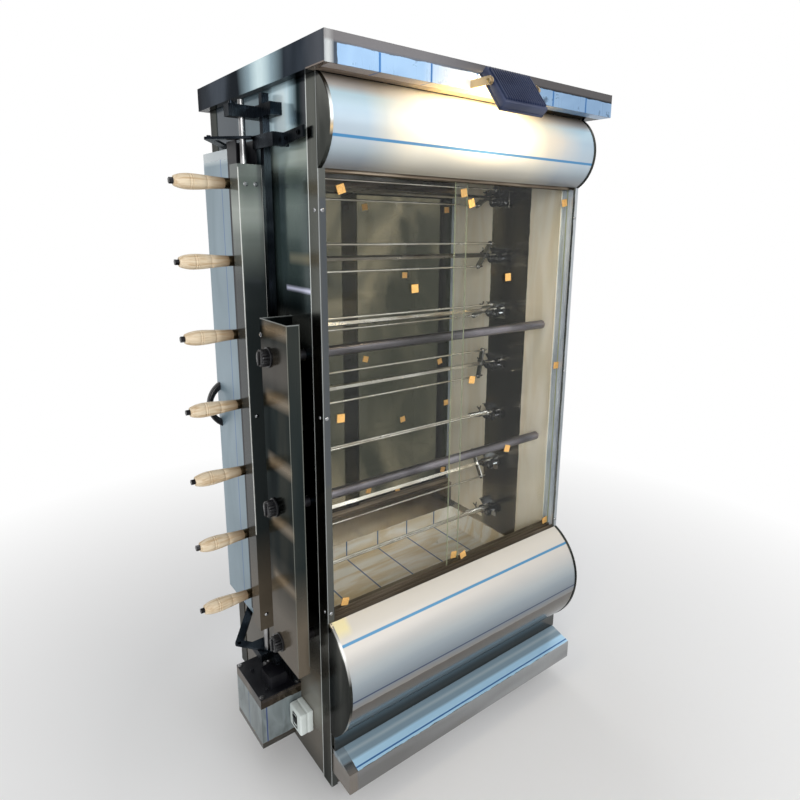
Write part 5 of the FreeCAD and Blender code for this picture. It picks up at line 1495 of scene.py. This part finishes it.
@dataclass
class GasKnobs:
    """The three ribbed knobs: a lobed grip with a rounded nose, a bar across it and a skirt.

    The nose's rings are given as distance behind the grip's front and share of its radius.
    """

    lobes: int = 16
    depth: float = 0.1
    steps: int = 128
    nose: tuple[Span, ...] = ((0.0, 0.8), (0.6, 0.88), (2.0, 0.96), (4.0, 1.0))
    inset: float = 3.5
    gap: float = 0.5
    skirt: float = 4.5
    lip: float = 1.2
    bar: float = 3.2
    bar_stands: float = 4.0
    bar_share: float = 0.78
    bar_edge: float = 1.4
    stem: float = 4.0

    def build(self) -> list[Piece]:
        """Makes each knob in its measured place.

        Returns:
            The knobs.
        """
        return [self.knob(number) for number in KNOBS]

    def lobed(self, x: float, center: Vector, radius: float) -> list[Point]:
        """One lobed ring across the knob's axis.

        Args:
            x: Where the ring is.
            center: The knob's centre.
            radius: The ring's radius over the lobes.

        Returns:
            The ring's points.
        """
        points = []
        for step in range(self.steps):
            angle = 2.0 * math.pi * step / self.steps
            dip = max(0.0, math.cos(self.lobes * angle)) ** 2
            reach = radius * (1.0 - self.depth * dip)
            points.append((x, center.y + reach * math.cos(angle), center.z + reach * math.sin(angle)))
        return points

    def knob(self, number: int) -> Piece:
        """One knob.

        Args:
            number: The knob's number from the top.

        Returns:
            The piece.
        """
        node = f"gas_knob_{number}"
        low, high = AXES.box(node)
        center = AXES.middle(node)
        wide = (high.z - low.z) / 2.0
        radius = wide - self.inset
        front = low.x + self.bar_stands
        back = AXES.box("control_cover")[0].x - self.gap
        neck = back - self.skirt
        maker = Maker()
        nose = [self.lobed(front + behind, center, radius * share) for behind, share in self.nose]
        maker.loft([*nose, self.lobed(neck, center, radius)])
        rim = ((0.0, radius * 0.9), (0.0, wide - self.lip), (self.lip, wide))
        skirt = (*rim, (self.skirt, wide), (self.skirt, self.stem))
        maker.lathe((neck, center.y, center.z), RIGHT, skirt, 48)
        reach = radius * self.bar_share
        low_bar = (low.x, center.y - self.bar, center.z - reach)
        high_bar = (front + 1.0, center.y + self.bar, center.z + reach)
        maker.slab(low_bar, high_bar, self.bar_edge, 3)
        maker.lathe((back, center.y, center.z), RIGHT, pin(high.x - back, self.stem), 20)
        return maker.piece(f"ribbed_knob_{number}", BLACK_PLASTIC, node, [node], "black_plastic", 40.0)


@dataclass
class PullHandle:
    """The arched pull handle with rounded edges and two sunk bolts."""

    foot: float = 24.0
    thick: float = 15.0
    steps: int = 28
    roundness: float = 0.55
    bolt_inset: float = 0.55
    bolt_out: float = 0.62
    dome: tuple[Span, ...] = ((0.0, 0.5), (0.0, 2.2), (1.0, 4.0), (6.0, 4.0), (6.0, 0.5))

    def build(self) -> list[Piece]:
        """Bends the handle between its two feet.

        Returns:
            The handle and its bolts.
        """
        node = "service_door_handle"
        low, high = AXES.box(node)
        center = AXES.middle(node)
        out = high.x - low.x
        reach = (high.z - low.z) / 2.0
        half = Vector((0.0, (high.y - low.y) / 2.0, 0.0))
        outer = self.arc(out, reach)
        inner = self.arc(out - self.thick, reach - self.foot)
        rings = []
        for (out_x, out_z), (in_x, in_z) in zip(outer, inner):
            far = Vector((high.x - out_x, center.y, center.z + out_z))
            near = Vector((high.x - in_x, center.y, center.z + in_z))
            rings.append(ring((far + near) / 2.0, (near - far) / 2.0, half, 24, self.roundness))
        maker = Maker()
        maker.loft(rings)
        handle = maker.piece("arched_pull", BLACK_PLASTIC, "service_door", [node], "black_plastic", 50.0)
        bolts = Maker()
        for side in BOTH_WAYS:
            z = center.z + side * (reach - self.foot * self.bolt_inset)
            bolts.lathe((high.x - self.foot * self.bolt_out, center.y, z), RIGHT, self.dome, 20)
        return [handle, bolts.piece("pull_bolts", DULL, "service_door", sharp=40.0)]

    def arc(self, out: float, reach: float) -> list[Span]:
        """Points of an arc as distance from the door and height.

        Args:
            out: How far the arc stands from the door.
            reach: Half of its height.

        Returns:
            The points.
        """
        radius = (out**2 + reach**2) / (2.0 * out)
        half = math.asin(min(1.0, reach / radius))
        points = []
        for step in range(self.steps + 1):
            angle = half * (2.0 * step / self.steps - 1.0)
            points.append((radius * math.cos(angle) - radius + out, radius * math.sin(angle)))
        return points


@dataclass
class Floodlight:
    """The floodlight: ribbed housing, frame, lit glass, lugs, and the stirrup's knobs.

    It is made upright with its pivot at the origin and tipped into place at the end.
    """

    tilt: float = -39.0
    back: float = 5.0
    above: float = 42.0
    below: float = 66.0
    deep: float = 26.0
    gap: float = 3.0
    pivot_y: float = -143.5
    pivot_z: float = 1820.0
    rim: float = 7.0
    fins: int = 17
    fin_inset: float = 8.0
    fin_half: float = 1.3
    fin_stands: float = 5.0
    rib_half: float = 1.2
    rib_stands: float = 2.5
    lug: float = 5.0
    nut: tuple[Span, ...] = (
        (0.0, 0.5), (0.0, 4.4), (1.0, 6.2), (2.0, 6.5), (5.0, 6.5), (6.0, 5.8), (6.0, 0.5),
    )

    def build(self) -> list[Piece]:
        """Makes the floodlight in its measured place.

        Returns:
            The housing, the glass and the knobs.
        """
        return [self.housing(), self.glass(), self.knobs()]

    def sides(self) -> Span:
        """The housing's left and right face, inside the stirrup."""
        low, high = AXES.box("lamp_housing")
        return low.x + self.gap, high.x - self.gap

    def front(self) -> float:
        """The frame's face in front of the pivot."""
        return self.deep - self.back

    def placed(self, maker: Maker) -> None:
        """Tips the mesh and moves it to the pivot."""
        maker.turn(maker.mesh.verts, (0.0, 0.0, 0.0), Axis.X, self.tilt)
        bmesh.ops.translate(maker.mesh, verts=maker.mesh.verts, vec=(0.0, self.pivot_y, self.pivot_z))

    def housing(self) -> Piece:
        """The cast housing with fins on its back and a raised frame in front.

        Returns:
            The housing.
        """
        maker = Maker()
        left, right = self.sides()
        low, high, front, rear = -self.below, self.above, self.front(), -self.back
        maker.slab((left, rear, low), (right, front - 6.0, high), 3.5, 3)
        inner = front - self.rim
        for first, last in (
            ((left, inner, low), (right, front, low + self.rim)),
            ((left, inner, high - self.rim), (right, front, high)),
            ((left, inner, low), (left + self.rim, front, high)),
            ((right - self.rim, inner, low), (right, front, high)),
        ):
            maker.slab(first, last, 1.6, 2)
        step = (right - left - 2.0 * self.fin_inset) / (self.fins - 1)
        start = (-self.fin_half, rear - self.fin_stands, low + self.rim)
        end = (self.fin_half, rear + 1.0, high - self.rim)
        for number in range(self.fins):
            x = left + self.fin_inset + number * step
            maker.slab((x + start[0], *start[1:]), (x + end[0], *end[1:]), 0.9, 2)
        for z in (low + 18.0, -12.0, high - 18.0):
            under = (left + 6.0, rear - self.rib_stands, z - self.rib_half)
            over = (right - 6.0, rear + 1.0, z + self.rib_half)
            maker.slab(under, over, 0.6, 1)
        for x, way in ((left - self.gap, RIGHT), (right + self.gap, LEFT)):
            maker.lathe((x, 0.0, 0.0), way, pin(self.gap + 1.0, self.lug), 24)
        self.placed(maker)
        return maker.piece("finned_housing", NAVY_PAINT, "lamp", ["lamp_housing"], "lamp_paint", 40.0)

    def glass(self) -> Piece:
        """The lit glass inside the frame.

        Returns:
            The glass.
        """
        maker = Maker()
        left, right = self.sides()
        inset = self.rim - 0.5
        low = (left + inset, self.front() - 5.0, inset - self.below)
        high = (right - inset, self.front() - 2.2, self.above - inset)
        maker.slab(low, high, 0.8, 1)
        self.placed(maker)
        return maker.piece("lit_pane", LIT_GLASS, "lamp", slot="clear_glass")

    def knobs(self) -> Piece:
        """The two gold thumb nuts on the stirrup.

        Returns:
            The nuts.
        """
        low, high = AXES.box("lamp_bracket")
        maker = Maker()
        for x, way in ((low.x, RIGHT), (high.x, LEFT)):
            maker.lathe((x, self.pivot_y, self.pivot_z), way, self.nut, 12)
        return maker.piece("thumb_nuts", GOLD, CABINET, slot="brass_fitting", sharp=30.0)


@dataclass
class SupportRollers:
    """The fourteen rollers under the spits' right ends, with crowned treads, hubs and end nuts."""

    spread: float = 15.6
    radius: float = 15.0
    hub: float = 4.2
    nut: tuple[Span, ...] = ((-2.0, 0.4), (-2.0, 5.0), (-1.2, 6.0), (1.0, 6.0), (1.0, 0.4))

    def build(self) -> list[Piece]:
        """Turns the rollers and their nuts.

        Returns:
            The rollers and the nuts.
        """
        low, high = AXES.box("support_rollers")
        first = AXES.middle("spit_handle_1")
        drop = first.z + self.radius - high.z
        tread = self.tread(high.x - low.x)
        rollers = Maker()
        nuts = Maker()
        for number in SPITS:
            level = AXES.middle(f"spit_handle_{number}").z - drop
            for side in BOTH_WAYS:
                place = (low.x, first.y + side * self.spread, level)
                rollers.lathe(place, RIGHT, tread, 36)
                nuts.lathe(place, RIGHT, self.nut, 6)
        shown = rollers.piece(
            "crowned_rollers", BLACK_PLASTIC, CABINET, ["support_rollers"], "black_plastic", 40.0
        )
        return [shown, nuts.piece("roller_nuts", BRIGHT, CABINET, sharp=30.0)]

    def tread(self, wide: float) -> list[Span]:
        """A roller's outline, the same from both ends to its crown.

        Args:
            wide: The roller's width.

        Returns:
            Points as distance along its axis and radius.
        """
        r = self.radius
        half = ((1.2, self.hub), (1.2, r - 6.0), (0.0, r - 5.0), (0.0, r - 1.5), (1.4, r - 0.2))
        return [*half, (wide * 0.5, r), *((wide - along, out) for along, out in reversed(half))]


@dataclass
class PostScrews:
    """The posts' screws: low domes with a hexagon socket, as shares of their height and radius."""

    levels: tuple[float, ...] = (1535.0, 1067.0, 560.0)
    side_inset: float = 17.0
    front_inset: float = 9.0
    radius: float = 5.0
    height: float = 2.4
    dome: tuple[Span, ...] = ((0.0, 1.0), (0.3, 1.0), (0.7, 0.86), (1.0, 0.56), (1.0, 0.42))
    socket: tuple[Span, ...] = ((1.0, 0.43), (0.35, 0.4), (0.35, 0.02))

    def build(self) -> list[Piece]:
        """Sets each screw on its post.

        Returns:
            The screws.
        """
        low, high = AXES.box("corner_posts")
        maker = Maker()
        for level in self.levels:
            for y in (self.side_inset, high.y - self.side_inset):
                self.screw(maker, (low.x, y, level), LEFT)
                self.screw(maker, (high.x, y, level), RIGHT)
            for x in (self.front_inset, high.x - self.front_inset):
                self.screw(maker, (x, low.y, level), FORWARD)
        return [maker.piece("domed_screws", BRIGHT, CABINET, ["frame_screws"], "bright_steel", 40.0)]

    def screw(self, maker: Maker, place: Point, way: Point) -> None:
        """One screw head standing on a face."""
        for outline, steps in ((self.dome, 24), (self.socket, 6)):
            maker.lathe(place, way, [(up * self.height, out * self.radius) for up, out in outline], steps)


@dataclass
class SwitchBox:
    """The moulded switch box, its seam, its frame and the rocker.

    The rocker's bend runs up it, as height over its middle and distance from the box's face.
    """

    edge: float = 5.0
    cover: float = 22.0
    seam: float = 0.8
    tongue: float = 1.2
    frame_half: Span = (11.4, 19.0)
    frame_reach: Span = (12.0, 20.0)
    bar_half: Span = (1.4, 1.6)
    bar_edge: float = 0.8
    frame_depth: Span = (-1.0, 2.0)
    bend: tuple[Span, ...] = (
        (-13.0, 1.0), (-12.4, 0.0), (-6.0, -0.9), (0.0, -1.9), (6.0, -3.4), (12.4, -4.8), (13.0, -4.0),
    )
    rocker_half: float = 9.0
    rocker_root: float = 5.0

    def build(self) -> list[Piece]:
        """Makes the box and the rocker.

        Returns:
            The box, the frame and the rocker.
        """
        return [self.shell(), self.surround(), self.rocker()]

    def shell(self) -> Piece:
        """The box in two halves, with a tongue across the seam between them.

        Returns:
            The box.
        """
        low, high = AXES.box("switch_box")
        split = low.x + self.cover
        maker = Maker()
        maker.slab((low.x, low.y, low.z), (split - self.seam, high.y, high.z), self.edge, 4)
        start = (low.x + 8.0, low.y + self.tongue, low.z + self.tongue)
        maker.slab(start, (split + 4.0, high.y - self.tongue, high.z - self.tongue), 2.0, 2)
        maker.slab((split, low.y, low.z), (high.x, high.y, high.z), 3.0, 3)
        return maker.piece("moulded_box", GREY_PLASTIC, CABINET, ["switch_box"], "grey_plastic", 40.0)

    def surround(self) -> Piece:
        """The frame round the rocker, two bars across it and two beside it.

        Returns:
            The frame.
        """
        middle = AXES.middle("switch_box")
        face = AXES.box("switch_box")[0].x
        under, over = face + self.frame_depth[0], face + self.frame_depth[1]
        half_y, half_z = self.bar_half
        reach_y, reach_z = self.frame_reach
        maker = Maker()
        for side in BOTH_WAYS:
            y = middle.y + side * self.frame_half[0]
            z = middle.z + side * self.frame_half[1]
            across = (middle.y - reach_y, z - half_z), (middle.y + reach_y, z + half_z)
            beside = (y - half_y, middle.z - reach_z), (y + half_y, middle.z + reach_z)
            for low, high in (across, beside):
                maker.slab((under, *low), (over, *high), self.bar_edge)
        return maker.piece("rocker_frame", BLACK_PLASTIC, CABINET)

    def rocker(self) -> Piece:
        """The bent rocker.

        Returns:
            The rocker.
        """
        middle = AXES.middle("rocker_switch")
        half = Vector((0.0, self.rocker_half, 0.0))
        face = AXES.box("switch_box")[0].x
        back = face + self.rocker_root
        rings = []
        for z, out in self.bend:
            front = face + out
            center = ((front + back) / 2.0, middle.y, middle.z + z)
            rings.append(ring(center, Vector(((back - front) / 2.0, 0.0, 0.0)), half, 20, 0.4))
        maker = Maker()
        maker.loft(rings)
        node = "rocker_switch"
        return maker.piece("bent_rocker", BLACK_PLASTIC, node, [node], "rocker_black", 45.0)


@dataclass
class SpitClamps:
    """The sliding clamps: a rounded cross plate, a turned boss and a wing screw.

    A wing's rings are given as distance out, height, half height and half thickness.
    """

    angles: tuple[float, ...] = (-30.0, -55.0, -30.0, -80.0, -20.0, 60.0, -30.0)
    plate_x: float = 776.0
    plate: float = 5.0
    plate_length: float = 112.0
    plate_height: float = 18.0
    chamfer: float = 0.8
    chamfered: float = 0.96
    boss: float = 14.0
    boss_radius: float = 10.0
    prong: float = 48.0
    stem: tuple[Span, ...] = ((7.0, 2.5), (17.0, 2.5), (17.0, 4.4), (20.5, 4.4), (23.0, 3.0), (23.0, 0.4))
    wing_rings: tuple[tuple[float, float, float, float], ...] = (
        (2.0, 19.5, 2.0, 1.5),
        (5.0, 21.5, 2.6, 1.5),
        (8.0, 25.0, 3.6, 1.4),
        (11.0, 26.5, 2.2, 0.8),
    )

    def build(self) -> list[Piece]:
        """Makes each clamp in its measured place.

        Returns:
            The clamps and their wing screws.
        """
        made = []
        for number, angle in zip(SPITS, self.angles):
            made += self.clamp(number, angle)
        return made

    def clamp(self, number: int, angle: float) -> list[Piece]:
        """One clamp.

        Args:
            number: The spit's number from the top.
            angle: The angle that the spit rests at, in degrees.

        Returns:
            The clamp and its wing screw.
        """
        node = f"spit_clamp_{number}"
        axis = AXES.middle(f"spit_handle_{number}")
        body, wing = self.body(axis), self.wing(axis)
        for maker in (body, wing):
            maker.turn(maker.mesh.verts, (self.plate_x, axis.y, axis.z), Axis.X, angle)
        return [
            body.piece(f"clamp_body_{number}", BRIGHT, node, [node], "bright_steel", 40.0),
            wing.piece(f"wing_screw_{number}", DULL_IRON, node, sharp=40.0),
        ]

    def body(self, axis: Vector) -> Maker:
        """The plate with its boss and the collars that its prongs pass through.

        Args:
            axis: A point on the spit's axis.

        Returns:
            The mesh, upright.
        """
        near, far = self.plate_x, self.plate_x + self.plate
        slices = (
            (near, self.chamfered),
            (near + self.chamfer, 1.0),
            (far - self.chamfer, 1.0),
            (far, self.chamfered),
        )
        maker = Maker()
        maker.loft([self.outline(x, axis, share) for x, share in slices])
        r = self.boss_radius
        boss = ((0.0, r), (self.boss - 2.0, r), (self.boss, r - 1.6), (self.boss, 5.6))
        maker.lathe((far, axis.y, axis.z), RIGHT, boss, 32)
        end = ((-1.2, 3.4), (-1.2, 5.4), (0.0, 6.0))
        collar = (*end, *((self.plate - along, out) for along, out in reversed(end)))
        for side in BOTH_WAYS:
            maker.lathe((near, axis.y + side * self.prong, axis.z), RIGHT, collar, 24)
        return maker

    def wing(self, axis: Vector) -> Maker:
        """The screw with its two wings, standing on the boss.

        Args:
            axis: A point on the spit's axis.

        Returns:
            The mesh, upright.
        """
        x = self.plate_x + self.plate + self.boss / 2.0
        maker = Maker()
        maker.lathe((x, axis.y, axis.z), UP, self.stem, 20)
        for side in BOTH_WAYS:
            rings = []
            for out, up, half, thick in self.wing_rings:
                place = (x, axis.y + side * out, axis.z + up)
                rings.append(ring(place, Vector((thick, 0.0, 0.0)), Vector((0.0, 0.0, half)), 16, 0.8))
            maker.loft(rings)
        return maker

    def outline(self, x: float, axis: Vector, share: float) -> list[Point]:
        """The plate's long rounded outline across a spit.

        Args:
            x: Where the outline is.
            axis: A point on the spit's axis.
            share: The size of its round ends, 1 in full.

        Returns:
            The outline's points.
        """
        radius = self.plate_height / 2.0 * share
        reach = self.plate_length / 2.0 - self.plate_height / 2.0
        points = []
        for side, start in ((1.0, -90.0), (-1.0, 90.0)):
            middle = axis.y + side * reach
            for step in range(13):
                angle = math.radians(start + step * 15.0)
                points.append((x, middle + radius * math.cos(angle), axis.z + radius * math.sin(angle)))
        return points


@dataclass
class Fastenings:
    """Small bolts on the drive's plates and the covers, and the upper bracket's tie plate."""

    cover_bolt: float = 3.2
    plate_bolt: float = 4.5
    tie_bolt: float = 3.6
    cover_end: float = 45.0
    cover_half: float = 12.0
    control_end: float = 40.0
    control_inset: float = 22.0
    plate_inset: float = 8.0
    plate_right: float = -6.0
    plate_top: float = 251.5
    tie_outline: tuple[Span, ...] = ((146.0, 1676.0), (146.0, 1701.0), (38.0, 1709.0), (38.0, 1687.0))
    tie_bolts: tuple[Span, ...] = ((59.0, 1697.0), (118.0, 1690.0))
    tie_x: float = -12.6
    tie_thick: float = 0.9

    def build(self) -> list[Piece]:
        """Sets the bolts and the plate.

        Returns:
            The bolts and the plate.
        """
        return [self.cover_bolts(), self.plate_bolts(), self.tie_plate()]

    def cover_bolts(self) -> Piece:
        """The bolts on the drive cover's front and on the control cover's left side.

        Returns:
            The bolts.
        """
        low, high = AXES.box("drive_cover")
        middle = AXES.middle("drive_cover")
        maker = Maker()
        for z in (high.z - self.cover_end, middle.z, low.z + self.cover_end):
            for x in (middle.x - self.cover_half, middle.x + self.cover_half):
                self.bolt(maker, (x, low.y, z), FORWARD, self.cover_bolt)
        low, high = AXES.box("control_cover")
        for z in (low.z + self.control_end, high.z - self.control_end):
            self.bolt(maker, (low.x, high.y - self.control_inset, z), LEFT, self.cover_bolt)
        return maker.piece("cover_bolts", BRIGHT, CABINET, sharp=35.0)

    def plate_bolts(self) -> Piece:
        """The four bolts that hold the gearmotor's plate.

        Returns:
            The bolts.
        """
        low, high = AXES.box("gearmotor")
        maker = Maker()
        for x in (low.x + self.plate_inset, self.plate_right):
            for y in (low.y + self.plate_inset, high.y - self.plate_inset):
                self.bolt(maker, (x, y, self.plate_top), UP, self.plate_bolt)
        return maker.piece("plate_bolts", DULL, CABINET, sharp=35.0)

    def tie_plate(self) -> Piece:
        """The grey steel face of the tie between the upper bracket and the post.

        Returns:
            The plate.
        """
        maker = Maker()
        maker.prism([(self.tie_x, y, z) for y, z in self.tie_outline], (self.tie_thick, 0.0, 0.0))
        for y, z in self.tie_bolts:
            self.bolt(maker, (self.tie_x - 0.2, y, z), LEFT, self.tie_bolt)
        return maker.piece("tie_plate", BRACKET_STEEL, CABINET, sharp=35.0)

    def bolt(self, maker: Maker, place: Point, way: Point, radius: float) -> None:
        """A hexagon head on a washer.

        Args:
            maker: The mesh that it is added to.
            place: Where its axis meets the face.
            way: The way that it stands.
            radius: Radius of its thread.
        """
        washer = ((0.0, radius * 1.7), (0.6, radius * 1.7), (0.9, radius * 1.5), (0.9, 0.4))
        head = ((0.9, radius * 1.15), (2.6, radius * 1.15), (3.2, radius * 0.95), (3.2, 0.3))
        maker.lathe(place, way, washer, 20)
        maker.lathe(place, way, head, 6)


@dataclass
class Studio:
    """A pale floor, a plain world, soft lamps and the photograph's viewing angle.

    A lamp has a name, a place, a point that it is aimed at, a side and a power.
    """

    camera_place: Point = (-639.7, -1196.1, 1506.6)
    heading: float = 38.51
    pitch: float = -12.61
    roll: float = 0.94
    lens: float = 27.371
    sensor: float = 36.0
    far: float = 50.0
    shift: Span = (-0.0382, -0.048)
    floor_size: float = 14.0
    floor_colour: Colour = (0.86, 0.86, 0.86)
    fade: Span = (0.8, 2.4)
    ambient: float = 0.5
    lamps: tuple[tuple[str, Point, Point, float, float], ...] = (
        ("key", (1.3, -3.4, 3.0), (0.1, 0.0, 1.0), 2.2, 34.0),
        ("fill", (-2.3, -3.0, 2.1), (0.2, 0.0, 1.0), 1.6, 76.0),
        ("back", (0.6, 3.4, 2.8), (0.0, 0.0, 1.0), 2.6, 30.0),
    )

    def build(self) -> None:
        """Sets the studio up."""
        self.camera()
        self.world()
        self.floor()
        for name, place, aim, size, power in self.lamps:
            self.lamp(name, place, aim, size, power)

    def camera(self) -> None:
        """The camera where the photograph was taken from."""
        data = bpy.data.cameras.new("view")
        data.lens = self.lens
        data.sensor_width = self.sensor
        data.shift_x, data.shift_y = self.shift
        data.clip_end = self.far
        camera = bpy.data.objects.new("view", data)
        turn, tip = math.radians(self.heading), math.radians(self.pitch)
        ahead = Vector((math.sin(turn) * math.cos(tip), math.cos(turn) * math.cos(tip), math.sin(tip)))
        lean = Quaternion(UP, math.radians(self.roll))
        camera.rotation_mode = "QUATERNION"
        camera.rotation_quaternion = ahead.to_track_quat("-Z", "Y") @ lean
        camera.location = AXES.matrix() @ Vector(self.camera_place)
        bpy.context.scene.collection.objects.link(camera)
        bpy.context.scene.camera = camera

    def world(self) -> None:
        """White for what is seen, softer for what it lights."""
        world = bpy.data.worlds.new("studio")
        bpy.context.scene.world = world
        world.use_nodes = True
        tree = world.node_tree
        tree.nodes.clear()
        mix = tree.nodes.new("ShaderNodeMixShader")
        tree.links.new(self.seen(tree), mix.inputs[0])
        for socket, strength in ((mix.inputs[1], self.ambient), (mix.inputs[2], 1.0)):
            shade = tree.nodes.new("ShaderNodeBackground")
            shade.inputs[0].default_value = (*WHITE, 1.0)
            shade.inputs[1].default_value = strength
            tree.links.new(shade.outputs[0], socket)
        output = tree.nodes.new("ShaderNodeOutputWorld")
        tree.links.new(mix.outputs[0], output.inputs[0])

    def seen(self, tree: bpy.types.NodeTree) -> Socket:
        """1 for rays that show a surface, and 0 for rays that only carry its light on.

        Args:
            tree: The tree that it is written to.

        Returns:
            The mask.
        """
        path = tree.nodes.new("ShaderNodeLightPath")
        seen = path.outputs["Is Camera Ray"]
        for name in ("Is Glossy Ray", "Is Transmission Ray"):
            either = tree.nodes.new("ShaderNodeMath")
            either.operation = "MAXIMUM"
            tree.links.new(seen, either.inputs[0])
            tree.links.new(path.outputs[name], either.inputs[1])
            seen = either.outputs[0]
        return seen

    def floor(self) -> None:
        """A floor that turns to the backdrop's white away from the object."""
        shape = bmesh.new()
        bmesh.ops.create_circle(shape, cap_ends=True, radius=self.floor_size, segments=64)
        data = bpy.data.meshes.new("floor")
        shape.to_mesh(data)
        shape.free()
        floor = bpy.data.objects.new("floor", data)
        bpy.context.scene.collection.objects.link(floor)
        g = Graph("floor")
        distance = g.node("VectorMath", operation="LENGTH")
        g.plug(distance.inputs[0], g.place)
        near, far = self.fade
        reach = far - near
        away = g.math("MULTIPLY_ADD", distance.outputs["Value"], 1.0 / reach, -near / reach, clamp=True)
        matt = g.node("BsdfDiffuse")
        g.plug(matt.inputs[0], self.floor_colour)
        white = g.node("Emission")
        g.plug(white.inputs[0], WHITE)
        data.materials.append(g.end(g.blend(g.math("MULTIPLY", away, self.seen(g.tree)), matt, white)))

    def lamp(self, name: str, place: Point, aim: Point, size: float, power: float) -> None:
        """One soft square lamp, aimed at a point.

        Args:
            name: The lamp's name.
            place: Where it hangs, in metres.
            aim: The point that it faces.
            size: Its side.
            power: Its power in watts.
        """
        data = bpy.data.lights.new(name, "AREA")
        data.size = size
        data.energy = power
        lamp = bpy.data.objects.new(name, data)
        lamp.location = place
        lamp.rotation_mode = "QUATERNION"
        lamp.rotation_quaternion = (Vector(aim) - Vector(place)).to_track_quat("-Z", "Y")
        bpy.context.scene.collection.objects.link(lamp)


GROUPS = (
    MeasuredParts(),
    WoodGrips(),
    SpitClamps(),
    SupportRollers(),
    GlassPads(),
    GasKnobs(),
    PullHandle(),
    SwitchBox(),
    Floodlight(),
    PostScrews(),
    Fastenings(),
)


def main() -> None:
    """Builds every group in order, notes each piece's name, and sets the studio up."""
    logging.basicConfig(level=logging.INFO, format="%(message)s")
    bpy.context.scene.view_settings.view_transform = "Standard"
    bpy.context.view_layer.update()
    for group in GROUPS:
        for piece in group.build():
            log.info("%s: %s", type(group).__name__, piece.name)
    Studio().build()


if __name__ == "__main__":
    main()
